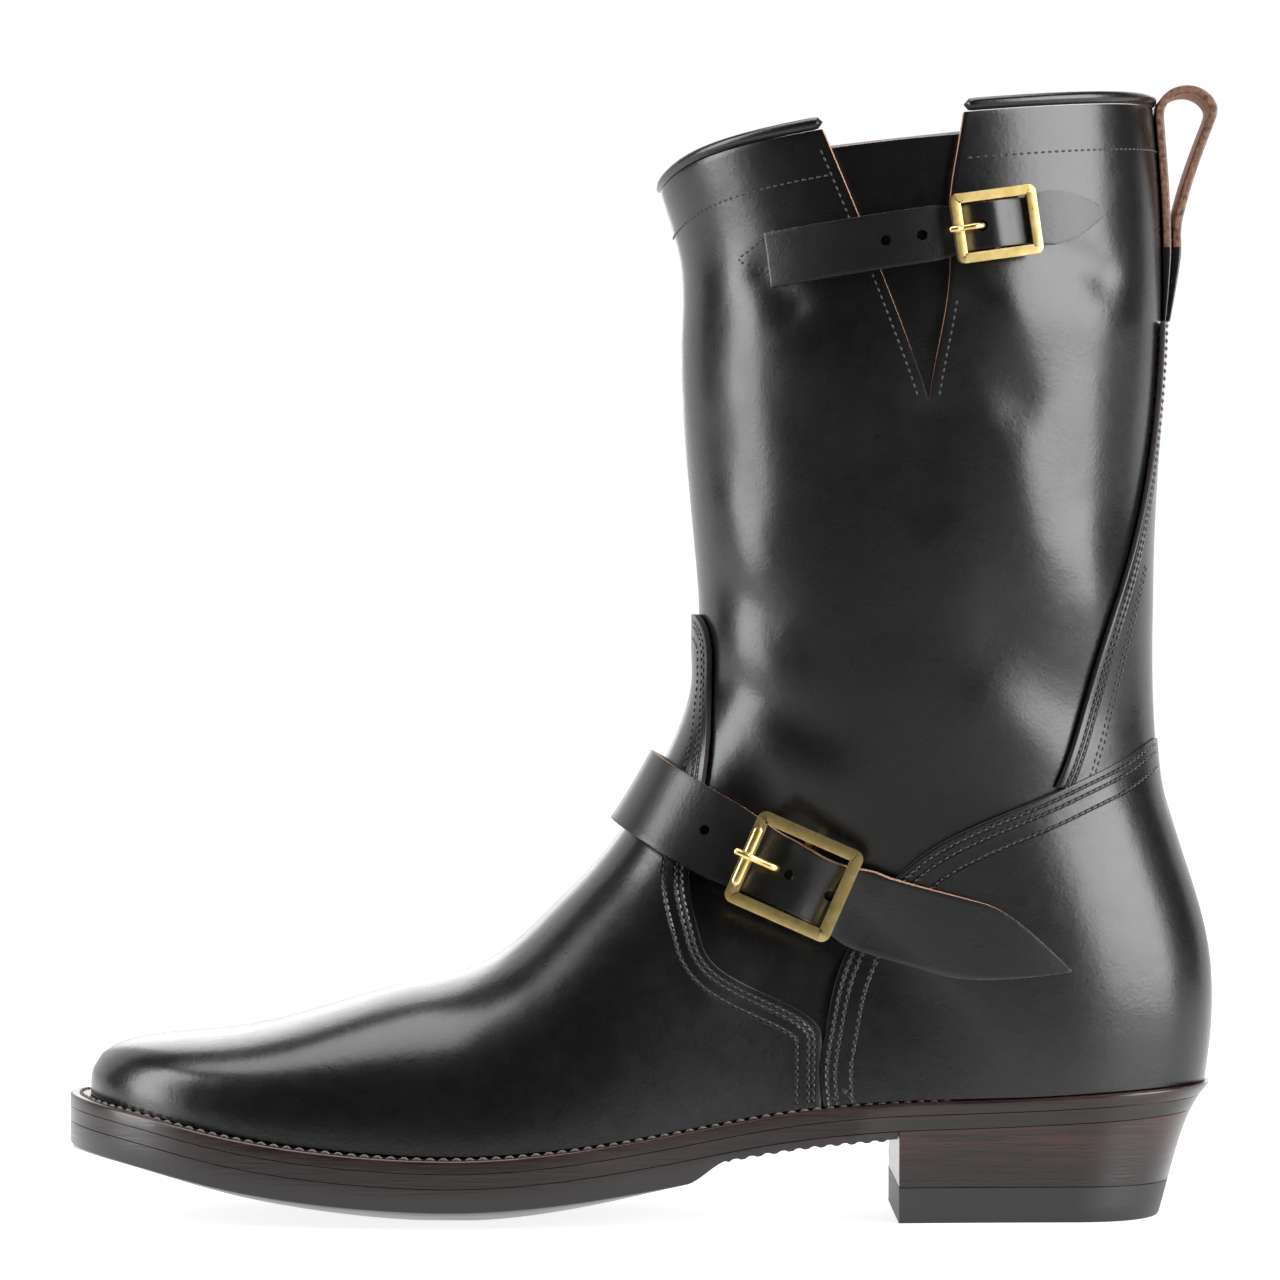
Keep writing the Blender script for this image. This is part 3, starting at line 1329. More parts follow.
TOP_HALF = 0.0071
TOP_TILT = math.radians(-8.4)
TOP_CENTRE = (0.2459 * LENGTH, 0.0025, 0.8746 * BOOT_HEIGHT)
TOP_LINE = [TurnRow(30, 0.0), TurnRow(160, 0.0)]
TOP_START = 45
TOP_TIP = 139
TOP_TAPER = 17
TOP_BUCKLE_TURN = 107
TOP_BUCKLE = (0.0226, 0.0180)
TOP_BAR = 0.0025
TOP_FRAME = 0.0063
TOP_CREST = 0.0048
TOP_DIP = 0.0022
TOP_CHAPE_END = 128
TOP_NECK = 9
TOP_LIFT = [
    LiftRow(30, 0.0004),
    LiftRow(52, 0.0008),
    LiftRow(90, 0.0010),
    LiftRow(97, 0.0012),
    LiftRow(107, TOP_CREST),
    LiftRow(114, 0.0026),
    LiftRow(118, 0.0023),
    LiftRow(128, 0.0023),
    LiftRow(140, 0.0018),
]


def cast(start, direction):
    """Where rays from inside the boot leave the form."""
    start, direction = np.broadcast_arrays(start, direction)
    near = np.zeros(start.shape[:-1])
    far = np.full(start.shape[:-1], 0.15)
    for _ in range(26):
        middle = (near + far) / 2
        inside = form(start + direction * middle[..., None]) < 0
        near = np.where(inside, middle, near)
        far = np.where(inside, far, middle)
    return start + direction * near[..., None]


class Wrap:
    """A band that runs round the boot in a tilted plane; the line may rise or fall from it."""

    def __init__(self, centre, tilt, line):
        self.centre = np.array(centre)
        self.ahead = np.array([-math.cos(tilt), 0.0, math.sin(tilt)])
        self.across = np.array([math.sin(tilt), 0.0, math.cos(tilt)])
        turns = np.radians(column(line, "turn"))
        self.rise = spline(turns, column(line, "rise"))

    def point(self, turn, w=0.0):
        """Point of the form at this turn round the boot, w above the line of the band."""
        turn, w = np.broadcast_arrays(np.asarray(turn, float), np.asarray(w, float))
        way = (self.ahead * np.cos(turn)[..., None]
               + np.array([0.0, -1.0, 0.0]) * np.sin(turn)[..., None])
        start = self.centre + self.across * (w + self.rise(turn))[..., None]
        return cast(start, way)


def necked(half, full, away, neck, opening):
    """Half width of a strap, drawn in to the frame's opening for 0.9 of the neck."""
    near = smooth(NECK_REACH - np.abs(away) / neck)
    return np.minimum(half, full + (opening - full) * near)


NECK_REACH = 1.9


def frame_axes(wrap, turn, reach):
    """Middle of the chord under a frame, its directions along, across and out, and its rise."""
    top = wrap.point(turn)
    half = reach / np.linalg.norm(top - wrap.centre)
    front, back = wrap.point(turn - half), wrap.point(turn + half)
    ahead = (back - front) / np.linalg.norm(back - front)
    out = outward(top)
    out -= ahead * np.dot(out, ahead)
    out /= np.linalg.norm(out)
    centre = (front + back) / 2
    return centre, ahead, np.cross(out, ahead), out, float(np.dot(top - centre, out))


def pointed_half(turns, tip, taper, half):
    """Half width of a strap whose end closes in two shallow arcs."""
    left = np.clip((tip - turns) / taper, 0.0, 1.0)
    return half * np.maximum(np.sin(left * math.pi / 2) ** 0.9, 0.02)


def fine_band(wrap, degrees, half, clear, thick, looks, columns=14, raw_until=10.0,
              soften=0.0005):
    """Strap on a wrap: half is its half width, clear its height over the form, turn by turn."""
    turns = np.radians(degrees)
    shares = np.linspace(-1.0, 1.0, columns + 1)
    grid = wrap.point(turns[:, None], half[:, None] * shares[None, :])
    normal = outward(grid)
    middle = wrap.point(turns[:, None], 0 * half[:, None])
    normal = normal * 0.35 + outward(middle) * 0.65
    normal /= np.linalg.norm(normal, axis=-1, keepdims=True)
    # The band stays flat across: its edges keep the height of its middle line
    flat = middle + (grid - middle) - np.sum((grid - middle) * normal, axis=-1)[..., None] * normal
    points = grid * 0.4 + flat * 0.6 + normal * (clear + thick)[:, None, None]
    piece = laid_grid(points[:, ::-1])
    thicken(piece, thick, looks, soften=soften, soft_look=1)
    ink_under_edges(piece, 1, 0, raw_until)
    return piece


def drill(piece, holes, radius, depth=0.006):
    """Round holes through a piece at the places and directions given."""
    bpy.ops.object.select_all(action="DESELECT")
    for place, out in holes:
        bpy.ops.mesh.primitive_cylinder_add(vertices=20, radius=radius, depth=depth)
        drilled = bpy.context.object
        turned = np.array(out)
        across = np.cross(turned, (0, 0, 1.0))
        across /= np.linalg.norm(across)
        up = np.cross(turned, across)
        drilled.data.transform(Matrix(((across[0], up[0], turned[0], place[0]),
                                       (across[1], up[1], turned[1], place[1]),
                                       (across[2], up[2], turned[2], place[2]),
                                       (0, 0, 0, 1))))
        drilled.data.materials.append(DARK_EDGE)
        cut = piece.modifiers.new("hole", "BOOLEAN")
        cut.operation = "DIFFERENCE"
        cut.object = drilled
        bpy.context.view_layer.objects.active = piece
        bpy.ops.object.modifier_apply(modifier=cut.name)
        bpy.data.objects.remove(drilled)
    piece.data.shade_smooth()
    piece.data.set_sharp_from_angle(angle=math.radians(50))


def places_along(wrap, lift, degrees, xs):
    """Places and directions on a strap's middle line at these values of x."""
    turns = np.radians(degrees[degrees > 20])
    line = wrap.point(turns)
    at = np.interp(xs, line[:, 0], turns)
    p = wrap.point(at)
    n = outward(p)
    return [(p[k] + n[k] * (float(lift(at[k])) + STRAP_THICK / 2), n[k]) for k in range(len(xs))]


# %% Instep strap
instep_wrap = Wrap(INSTEP_CENTRE, INSTEP_TILT, INSTEP_LINE)
instep_lift = spline(np.radians(column(INSTEP_LIFT, "turn")), column(INSTEP_LIFT, "lift"))
STRAP_HOLE = 0.00135
INSTEP_HOLES = (0.0178, 0.0386, 0.0495)


def make_instep_strap():
    degrees = np.concatenate([np.linspace(INSTEP_START, 120, 220),
                              np.linspace(120.7, INSTEP_TIP, 40)])
    half = pointed_half(degrees, INSTEP_TIP, INSTEP_TAPER, INSTEP_HALF)
    opening = INSTEP_BUCKLE[1] / 2 - INSTEP_BAR - FRAME_CLEAR / 2
    half = necked(half, INSTEP_HALF, degrees - INSTEP_BUCKLE_TURN, INSTEP_NECK, opening)
    piece = fine_band(instep_wrap, degrees, half, instep_lift(np.radians(degrees)), STRAP_THICK,
                      (STRAP_LEATHER, RAW_EDGE), raw_until=0.075, soften=0.0008)
    drill(piece, places_along(instep_wrap, instep_lift, degrees, INSTEP_HOLES), STRAP_HOLE)
    finish_piece(piece, "instep_strap_leather", "instep_strap")
    rear = np.linspace(INSTEP_BUCKLE_TURN + 3, INSTEP_CHAPE_END, 24)
    chape = fine_band(instep_wrap, rear, np.full(24, INSTEP_HALF * CHAPE_WIDTH),
                      np.full(24, OVERLAY), CHAPE_THICK, (STRAP_LEATHER, DARK_EDGE), 8)
    finish_piece(chape, "instep_chape_leather", "instep_chape")


make_instep_strap()

# %% Top strap
top_wrap = Wrap(TOP_CENTRE, TOP_TILT, TOP_LINE)
top_lift = spline(np.radians(column(TOP_LIFT, "turn")), column(TOP_LIFT, "lift"))
TOP_HOLES = (0.0633, 0.0723, 0.0868)


def make_top_strap():
    degrees = np.concatenate([np.linspace(TOP_START, 118, 130),
                              np.linspace(118.5, TOP_TIP, 40)])
    half = pointed_half(degrees, TOP_TIP, TOP_TAPER, TOP_HALF)
    opening = TOP_BUCKLE[1] / 2 - TOP_BAR - FRAME_CLEAR / 2
    half = necked(half, TOP_HALF, degrees - TOP_BUCKLE_TURN, TOP_NECK, opening)
    piece = fine_band(top_wrap, degrees, half, top_lift(np.radians(degrees)), STRAP_THICK,
                      (STRAP_LEATHER, RAW_EDGE), soften=0.0010)
    drill(piece, places_along(top_wrap, top_lift, degrees, TOP_HOLES), STRAP_HOLE)
    finish_piece(piece, "top_strap_leather", "top_strap")
    rear = np.linspace(TOP_BUCKLE_TURN + 2, TOP_CHAPE_END, 24)
    chape = fine_band(top_wrap, rear, np.full(24, TOP_HALF * CHAPE_WIDTH),
                      np.full(24, STAY_GAP), TOP_CHAPE_THICK, (STRAP_LEATHER, DARK_EDGE), 8)
    finish_piece(chape, "top_chape_leather", "top_chape")


make_top_strap()


# %% [markdown]
# ## Buckles
#
# Each buckle is a cast frame with square corners, flat on its face and rounded on its edges. It is
# made as a metalworker would cut it: a plate is inset, the middle is taken out, the ring is given
# its height and its edges are bevelled. The bar in the middle holds the prong. The instep buckle
# has a loose roller on its front bar.

# %% Buckles
def placed(piece, centre, ahead, across, out):
    """Move a mesh that lies flat at the origin to its frame on the boot."""
    rows = [(ahead[k], across[k], out[k], centre[k]) for k in range(3)]
    piece.data.transform(Matrix(rows + [(0, 0, 0, 1)]))


def make_frame(name, node, wrap, turn, size, bar, height, floor):
    centre, ahead, across, out, _ = frame_axes(wrap, turn, size[0] / 2)
    bpy.ops.mesh.primitive_plane_add(size=1)
    piece = bpy.context.object
    piece.data.transform(Matrix.Diagonal((size[0], size[1], 1, 1)))
    in_edit_mode(piece, lambda: bpy.ops.mesh.select_all(action="SELECT"),
                 lambda: bpy.ops.mesh.bevel(offset=bar * 0.75, segments=6, affect="VERTICES"),
                 lambda: bpy.ops.mesh.inset(thickness=bar, depth=0),
                 lambda: bpy.ops.mesh.delete(type="ONLY_FACE"))
    shell = piece.modifiers.new("height", "SOLIDIFY")
    shell.thickness = bar * 0.86
    shell.offset = 0.0
    edge = piece.modifiers.new("edges", "BEVEL")
    edge.width = bar * 0.30
    edge.segments = 4
    edge.limit_method = "ANGLE"
    edge.angle_limit = math.radians(50)
    apply_all(piece)
    placed(piece, centre + out * height, ahead, across, out)
    piece.data.materials.append(BRASS)
    piece.data.shade_smooth()
    piece.data.set_sharp_from_angle(angle=math.radians(50))
    reach = size[1] / 2 - bar / 2
    low = height - floor
    ys = np.array([-reach, -reach + bar * 0.5, -reach + bar * 0.9, reach - bar * 0.9,
                   reach - bar * 0.5, reach])
    ups = np.array([height, height - floor * 0.5, low, low, height - floor * 0.5, height])
    path = centre + across * ys[:, None] + out * ups[:, None]
    side = np.tile(ahead, (len(path), 1))
    rod = tube(name + "_bar", round_sections(path, side, np.tile(out, (len(path), 1)), bar * 0.33),
               (BRASS,), keep=True)
    bpy.ops.object.select_all(action="DESELECT")
    rod.select_set(True)
    piece.select_set(True)
    bpy.context.view_layer.objects.active = piece
    bpy.ops.object.join()
    return finish_piece(piece, name, node, slot="polished_brass")


def make_prong(name, node, wrap, turn, size, bar, height, crest):
    centre, ahead, across, out, rise = frame_axes(wrap, turn, size[0] / 2)
    crest = crest + rise
    radius = bar * 0.31
    top = height + bar * 0.43 + radius
    front = -size[0] * 0.5
    knots = np.array([(-size[0] * 0.17, crest - radius),
                      (-size[0] * 0.20, crest + radius),
                      (-size[0] * 0.30, crest + radius + GAP * 2),
                      (front + bar * 0.9, top),
                      (front + bar * 0.3, top + GAP),
                      (front - bar * 0.15, top),
                      (front - bar * 0.6, top - bar * 0.2)])
    t = np.linspace(0, len(knots) - 1, 60)
    along_bar, up = (spline(np.arange(len(knots)), knots[:, k])(t) for k in range(2))
    path = centre + ahead * along_bar[:, None] + out * up[:, None]
    way = directions(path)
    side = np.tile(across, (len(path), 1))
    size_along = radius * np.sqrt(np.clip((len(knots) - 1 - t) / 0.35, 0.02, 1.0))
    sections = round_sections(path, side, np.cross(way, side), size_along)
    return tube(name, sections, (BRASS,), node, slot="polished_brass")


def make_roller(name, wrap, turn, size, bar, height):
    """Loose sleeve on the front bar."""
    centre, ahead, across, out, _ = frame_axes(wrap, turn, size[0] / 2)
    length = size[1] - 2.5 * bar
    stations, sizes = rounded_ends(length, bar * 0.54, 4)
    sizes = np.maximum(sizes, bar * 0.45)
    start = centre + out * height - ahead * (size[0] / 2 - bar / 2) - across * length / 2
    path = start + across * stations[:, None]
    side = np.tile(ahead, (len(path), 1))
    sections = round_sections(path, side, np.tile(out, (len(path), 1)), sizes, 20)
    return tube(name, sections, (BRASS,), slot="polished_brass")


for name, wrap, turn, size, bar, height, floor, crest in (
        ("instep", instep_wrap, INSTEP_BUCKLE_TURN, INSTEP_BUCKLE, INSTEP_BAR, INSTEP_FRAME,
         INSTEP_DIP, INSTEP_CREST),
        ("top", top_wrap, TOP_BUCKLE_TURN, TOP_BUCKLE, TOP_BAR, TOP_FRAME, TOP_DIP, TOP_CREST)):
    turn = math.radians(turn)
    make_frame(name + "_frame", name + "_buckle", wrap, turn, size, bar, height, floor)
    make_prong(name + "_pin", name + "_prong", wrap, turn, size, bar, height, crest + STRAP_THICK)
make_roller("instep_roller", instep_wrap, math.radians(INSTEP_BUCKLE_TURN), INSTEP_BUCKLE,
            INSTEP_BAR, INSTEP_FRAME)


# %% [markdown]
# ## The sole
#
# Seen from above the sole is one outline: a toe arc, the waist and a heel arc. Each layer is a
# stack of loops round that outline with a cap of rows across it, merged along the rim. The heel
# and the outsole are cut at the breast with a bisect, as a knife would cut them.

# %% Sole helpers
SOLE_TURNS = 900
SOLE_SHARP = math.radians(35)
HeelRow = namedtuple("HeelRow", "down taper")
# Side of the heel from the seat to the floor: share of the taper
HEEL_SIDE = [
    HeelRow(0.00, 0.00),
    HeelRow(0.12, 0.24),
    HeelRow(0.25, 0.42),
    HeelRow(0.45, 0.61),
    HeelRow(0.70, 0.79),
    HeelRow(1.00, 1.00),
]
heel_side = spline(column(HEEL_SIDE, "down"), column(HEEL_SIDE, "taper"))

HALF_SOLE_END = 0.0738 * LENGTH     # x where the thick forefoot sole ends
HALF_SOLE_RAMP = 0.0110
RIB_PITCH = 0.0040
RIB_DEPTH = 0.0005
SHANK_LIFT = 1.7          # how soon the belly of the sole ends in the rise to the waist
WELT_SEAT = 0.0060        # how far the welt reaches under the upper


def draw_in(x, y, z):
    """Move a point of the heel in as it goes down from the heel seat."""
    down = np.clip((welt_top(x) - z) / welt_top(x), 0.0, 1.0)
    share = np.clip((x - HEEL_BREAST) / (HEEL_X - HEEL_BREAST), 0.0, 1.0)
    near = smooth((x - HEEL_BREAST + 0.012) / 0.012)
    amount = heel_side(down)
    x = x - HEEL_TAPER_BACK * amount * share ** 2
    y = y * (1 - HEEL_TAPER_SIDE * amount * near / HALF_BALL / 0.62)
    return x, y


def midsole_top(x, r):
    return welt_top(x) - WELT_THICK - GAP


def midsole_bottom(x, r):
    return midsole_top(x, r) - MIDSOLE_THICK


def outsole_top(x, r):
    return midsole_bottom(x, r) - GAP


def outsole_bottom(x, r):
    fore = 1 - smooth((x - HALF_SOLE_END + HALF_SOLE_RAMP) / HALF_SOLE_RAMP)
    thick = SHANK_THICK + (HALF_SOLE_THICK - SHANK_THICK) * fore
    level = 1 - 0.7 * toe_rise(x) / TOE_SPRING
    belly = CROWN * level * np.clip(1 - SHANK_LIFT * heel_rise(x) / HEEL_RISE, 0.12, 1.0)
    ribbed = (x > HALF_SOLE_END) & (x < HEEL_BREAST - 0.002)
    phase = np.round((x - HALF_SOLE_END) / (RIB_PITCH / 2)).astype(int) % 2
    rib = np.where(ribbed & (phase == 0), RIB_DEPTH, 0.0)
    return np.maximum(outsole_top(x, r) - thick - belly * (1 - r ** 2) - rib, 0.0)


def sole_loop(inset, height, drop=0.0):
    """Loop round the sole at an inset from its edge; height(x, r) gives its level."""
    turns = np.linspace(0, 2 * math.pi, SOLE_TURNS, endpoint=False)
    start, end = TOE_X + inset, HEEL_X - inset
    x = (start + end) / 2 - (end - start) / 2 * np.cos(turns)
    side = np.where(np.sin(turns) > 0, -1.0, 1.0)
    y = outline_y(x, side, inset)
    z = height(x, np.ones_like(x)) - drop
    x, y = draw_in(x, y, z)
    return np.stack([x, y, z], axis=-1)


def cap(loop, height=None, columns=16):
    """Rows from the outer side to the inner side that close a loop."""
    half = SOLE_TURNS // 2
    left = loop[:half + 1]
    right = loop[(SOLE_TURNS - np.arange(half + 1)) % SOLE_TURNS]
    share = np.linspace(0.0, 1.0, columns + 1)
    rows = left[:, None, :] + (right - left)[:, None, :] * share[None, :, None]
    if height:
        inner = height(rows[:, 1:-1, 0], 2 * share[None, 1:-1] - 1)
        rows[:, 1:-1, 2] = inner
    return rows


def joined(pieces):
    bpy.ops.object.select_all(action="DESELECT")
    for piece in pieces:
        piece.select_set(True)
    bpy.context.view_layer.objects.active = pieces[0]
    bpy.ops.object.join()
    return bpy.context.object


def layer_body(loops, bottom=None):
    side = np.array(loops)
    side = laid_grid(np.concatenate([side, side[:, :1]], axis=1)[::-1])
    body = joined([side, laid_grid(cap(loops[0])), laid_grid(cap(loops[-1], bottom))])
    in_edit_mode(body, lambda: merge(4e-6),
                 lambda: bpy.ops.mesh.dissolve_degenerate(threshold=1e-6),
                 lambda: bpy.ops.mesh.normals_make_consistent(inside=False))
    return body


def keep_side(piece, x, front):
    """Cut a piece across at x and keep its front or its back part."""
    in_edit_mode(piece, lambda: bpy.ops.mesh.select_all(action="SELECT"),
                 lambda: bpy.ops.mesh.bisect(plane_co=(x, 0, 0), plane_no=(1, 0, 0), use_fill=True,
                                             clear_outer=front, clear_inner=not front))


def finish_sole(piece, name, node, look, slot, low, high):
    xyz = np.array([v.co for v in piece.data.vertices])
    bottom, top = low(xyz[:, 0]), high(xyz[:, 0])
    set_attribute(piece, "rise", np.clip((xyz[:, 2] - bottom) / (top - bottom), 0.0, 1.0))
    piece.data.materials.append(look)
    piece.data.shade_smooth()
    piece.data.set_sharp_from_angle(angle=SOLE_SHARP)
    return finish_piece(piece, name, node, slot=slot)


# %% Welt
WELT_ROUND = 0.0009


def welt_height(x, r):
    return welt_top(x)


def make_welt():
    seat = WELT_TOE + WELT_SEAT
    arc = np.linspace(0, math.pi / 2, 5)
    loops = [sole_loop(seat, welt_height), sole_loop(WELT_ROUND * 2.2, welt_height)]
    for t in arc:
        loops.append(sole_loop(WELT_ROUND * (1 - math.sin(t)), welt_height,
                               WELT_ROUND * (1 - math.cos(t))))
    loops += [sole_loop(0.0, welt_height, WELT_THICK - 0.0001),
              sole_loop(0.0001, welt_height, WELT_THICK), sole_loop(seat, welt_height, WELT_THICK)]
    loops.append(loops[0])
    grid = np.array(loops)
    piece = laid_grid(np.concatenate([grid, grid[:, :1]], axis=1))
    in_edit_mode(piece, lambda: merge(4e-6),
                 lambda: bpy.ops.mesh.normals_make_consistent(inside=False))
    return finish_sole(piece, "welt_leather", "welt", WELT_EDGE, "burgundy_sole_edge",
                       lambda x: welt_top(x) - WELT_THICK, welt_top)


make_welt()


# %% Midsole, outsole and heel
EDGE_ROUND = 0.0005
EDGE_BREAK = 0.0002       # a hidden edge is only broken
CORNER = 0.00005
FLOOR_ROUND = 0.0004


def make_midsole():
    loops = [sole_loop(EDGE_BREAK, midsole_top, -GAP * 0.9),
             sole_loop(CORNER, midsole_top, -GAP * 0.4),
             sole_loop(CORNER, midsole_bottom, -GAP * 0.2),
             sole_loop(EDGE_BREAK, midsole_bottom)]
    body = layer_body(loops)
    return finish_sole(body, "midsole_leather", "midsole", MIDSOLE_EDGE, "burgundy_sole_edge",
                       lambda x: midsole_bottom(x, 0), lambda x: midsole_top(x, 0))


def make_outsole():
    loops = [sole_loop(EDGE_BREAK, outsole_top, -GAP * 0.9),
             sole_loop(0.0, outsole_top, -GAP * 0.4),
             sole_loop(0.0, outsole_bottom, -EDGE_ROUND * 1.2),
             sole_loop(EDGE_ROUND * 0.3, outsole_bottom, -EDGE_ROUND * 0.4),
             sole_loop(EDGE_ROUND, outsole_bottom)]
    body = layer_body(loops, outsole_bottom)
    keep_side(body, HEEL_BREAST - GAP, True)
    return finish_sole(body, "outsole_leather", "outsole", SOLE_EDGE_LOOK, "burgundy_sole_edge",
                       lambda x: outsole_top(x, 0) - HALF_SOLE_THICK, lambda x: outsole_top(x, 0))


def heel_height(share):
    floor = HEEL_LIFT + GAP * 0.5
    return lambda x, r: outsole_top(x, r) * (1 - share) + floor * share


def flat_height(z):
    return lambda x, r: z + 0 * x


def make_heel():
    loops = [sole_loop(EDGE_BREAK, outsole_top, -GAP * 0.9),
             sole_loop(0.0, outsole_top, -GAP * 0.4)]
    loops += [sole_loop(0.0, heel_height(share)) for share in np.linspace(0.08, 1.0, 14)]
    body = layer_body(loops)
    keep_side(body, HEEL_BREAST, False)
    finish_sole(body, "heel_leather", "heel_stack", HEEL_LOOK, "stacked_leather",
                lambda x: HEEL_LIFT + 0 * x, lambda x: outsole_top(x, 0))
    loops = [sole_loop(EDGE_BREAK, flat_height(HEEL_LIFT)),
             sole_loop(0.0, flat_height(HEEL_LIFT - EDGE_BREAK)),
             sole_loop(0.0, flat_height(HEEL_LIFT / 2)),
             sole_loop(0.0, flat_height(FLOOR_ROUND * 1.5)),
             sole_loop(FLOOR_ROUND, flat_height(0.0))]
    body = layer_body(loops)
    keep_side(body, HEEL_BREAST, False)
    body.data.materials.append(RUBBER)
    body.data.shade_smooth()
    body.data.set_sharp_from_angle(angle=SOLE_SHARP)
    finish_piece(body, "heel_rubber", "heel_top_lift", slot="black_rubber")


make_midsole()
make_outsole()
make_heel()


# %% [markdown]
# ## The insole
#
# Inside, a tan leather sock covers the insole board. It is a plain sheet that rests between the
# walls, seen only from above, so its solid's own shape is enough: the solid keeps its form and
# gets the leather's finish.

# %% Insole
SOCK = cut_edge_look("insole_leather", (0.30, 0.17, 0.10), (0.46, 0.29, 0.18))
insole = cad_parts["insole"]
insole.data.materials.clear()
insole.data.materials.append(SOCK)


# %% [markdown]
# ## Stitches
#
# The boot is sewn with a lockstitch: each visible stitch is a short, slightly sunken bead of
# thread whose ends dip into their holes. One stitch is modelled, and each seam is one mesh of its
# copies, a copy for every step of the seam, turned along the line and pressed into the leather.

# %% Stitch helpers
def model_stitch():
    """One stitch along X, 1 long and 1 thick, with its ends bent down into the leather."""
    bpy.ops.mesh.primitive_uv_sphere_add(segments=6, ring_count=5, radius=0.5,
                                         rotation=(0.0, math.pi / 2, 0.0))
    bpy.ops.object.transform_apply(location=False, rotation=True, scale=False)
    made = bpy.context.object
    shape = np.array([v.co for v in made.data.vertices])
    shape[:, 2] += 0.25 - 14.0 * shape[:, 0] ** 4
    faces = [tuple(face.vertices) for face in made.data.polygons]
    bpy.data.objects.remove(made)
    return shape, faces


STITCH, STITCH_FACES = model_stitch()


def even_steps(row, pitch):
    """Places and normals every pitch along a row of (points, normals)."""
    points, normals = row
    run = np.concatenate([[0], np.cumsum(np.linalg.norm(np.diff(points, axis=0), axis=1))])
    at = np.linspace(0, run[-1], max(2, int(round(run[-1] / pitch))) + 1)
    return [np.stack([np.interp(at, run, part[:, k]) for k in range(3)], axis=-1)
            for part in (points, normals)]


def unit(v):
    return v / np.linalg.norm(v, axis=-1, keepdims=True)


def sew(name, rows, pitch, radius, look, fill=0.80, sink=0.35):
    """One mesh with a copy of the stitch for every step of every row."""
    copies = []
    for row in rows:
        marks, normals = even_steps(row, pitch)
        step = np.diff(marks, axis=0)
        ahead = unit(step)
        out = (normals[:-1] + normals[1:]) / 2
        out = unit(out - ahead * np.sum(out * ahead, axis=-1, keepdims=True))
        across = np.cross(out, ahead)
        middle = (marks[:-1] + marks[1:]) / 2 - out * radius * sink
        length = np.linalg.norm(step, axis=-1)[:, None, None] * fill
        copies.append(middle[:, None] + ahead[:, None] * STITCH[:, :1] * length
                      + across[:, None] * STITCH[:, 1:2] * 2 * radius
                      + out[:, None] * STITCH[:, 2:] * 2 * radius)
    points = np.concatenate(copies).reshape(-1, 3)
    size = len(STITCH)
    count = len(points) // size
    faces = [tuple(k * size + v for v in face) for k in range(count) for face in STITCH_FACES]
    mesh = bpy.data.meshes.new(name)
    mesh.from_pydata(points.tolist(), [], faces)
    mesh.materials.append(look)
    mesh.shade_smooth()
    piece = bpy.data.objects.new(name, mesh)
    bpy.context.scene.collection.objects.link(piece)
    print(name, count, "stitches")
    return finish_piece(piece, name)


def sewn_line(levels, turns, clear):
    """Points and normals on a piece that lies `clear` above the skin."""
    points, normals = skin(levels, turns)
    return points + normals * clear, normals


def shifted_border(levels, turns, shift):
    """The border moved `shift` into its piece, measured along the skin."""
    fine = np.linspace(0, len(levels) - 1, len(levels) * 3)
    number = np.arange(len(levels))
    level, turn = np.interp(fine, number, levels), np.interp(fine, number, turns)
    step = 1e-3
    for _ in range(2):
        here = skin(level, turn)[0]
        by_level = (skin(level + step, turn)[0] - here) / step
        by_turn = (skin(level, turn + step)[0] - here) / step
        ahead = np.gradient(here, axis=0)
        ahead /= np.linalg.norm(ahead, axis=-1, keepdims=True)
        normal = np.cross(by_turn, by_level)
        normal /= np.linalg.norm(normal, axis=-1, keepdims=True)
        side = np.cross(ahead, normal)
        aim = side * shift / 2
        # Solve for the small move along the map's own two directions
        a, b, c = (np.sum(u * v, axis=-1) for u, v in ((by_level, by_level), (by_level, by_turn),
                                                       (by_turn, by_turn)))
        p, q = np.sum(by_level * aim, axis=-1), np.sum(by_turn * aim, axis=-1)
        size = a * c - b * b
        level = np.clip(level + (p * c - q * b) / size, 0.002, 0.999)
        turn = turn + (q * a - p * b) / size
    return level, turn


# %% [markdown]
# ## Seams of the upper
#
# Vamp and counter carry two close rows along their edge and a third further in, the stay two.
# One row runs round the collar below the bead, one follows the front edge of the notch, and a
# triangle holds the front end of the top strap where it comes through its slit.

# %% Seams of the upper
SEAM_PITCH = 0.0020
THREAD_RADIUS = 0.00030
VAMP_TOP = OVERLAY_GAP + OVERLAY
COUNTER_FACE = OVERLAY_GAP + COUNTER_LEATHER
STAY_LINING_SEAMS = (7.6, 8.9)
STAY_LINING_TOP = 0.177   # height where the two inner rows of the stay run out behind


def seam_rows(levels, turns, offsets, clear, sign):
    rows = []
    for offset in offsets:
        level, turn = shifted_border(levels, turns, sign * offset * MM)
        kept = (level > 0.006) & (level < 0.997)
        rows.append(sewn_line(level[kept], turn[kept], clear))
    return rows


def vamp_rows():
    """Rows up one side of the vamp, over the tip of its tongue and down the other side."""
    rows = []
    for offset in VAMP_SEAMS:
        up = shifted_border(vamp_levels, vamp_outer, -offset * MM)
        down = shifted_border(vamp_levels, -vamp_inner, offset * MM)
        # Where the two lines cross near the tip, each ends
        up_ok = (up[1] > 0.5 * offset * MM / 0.05) & (up[0] > 0.006)
        down_ok = (down[1] < -0.5 * offset * MM / 0.05) & (down[0] > 0.006)
        level = np.concatenate([up[0][up_ok], down[0][down_ok][::-1]])
        turn = np.concatenate([up[1][up_ok], down[1][down_ok][::-1]])
        rows.append(sewn_line(level, turn, VAMP_TOP))
    return rows


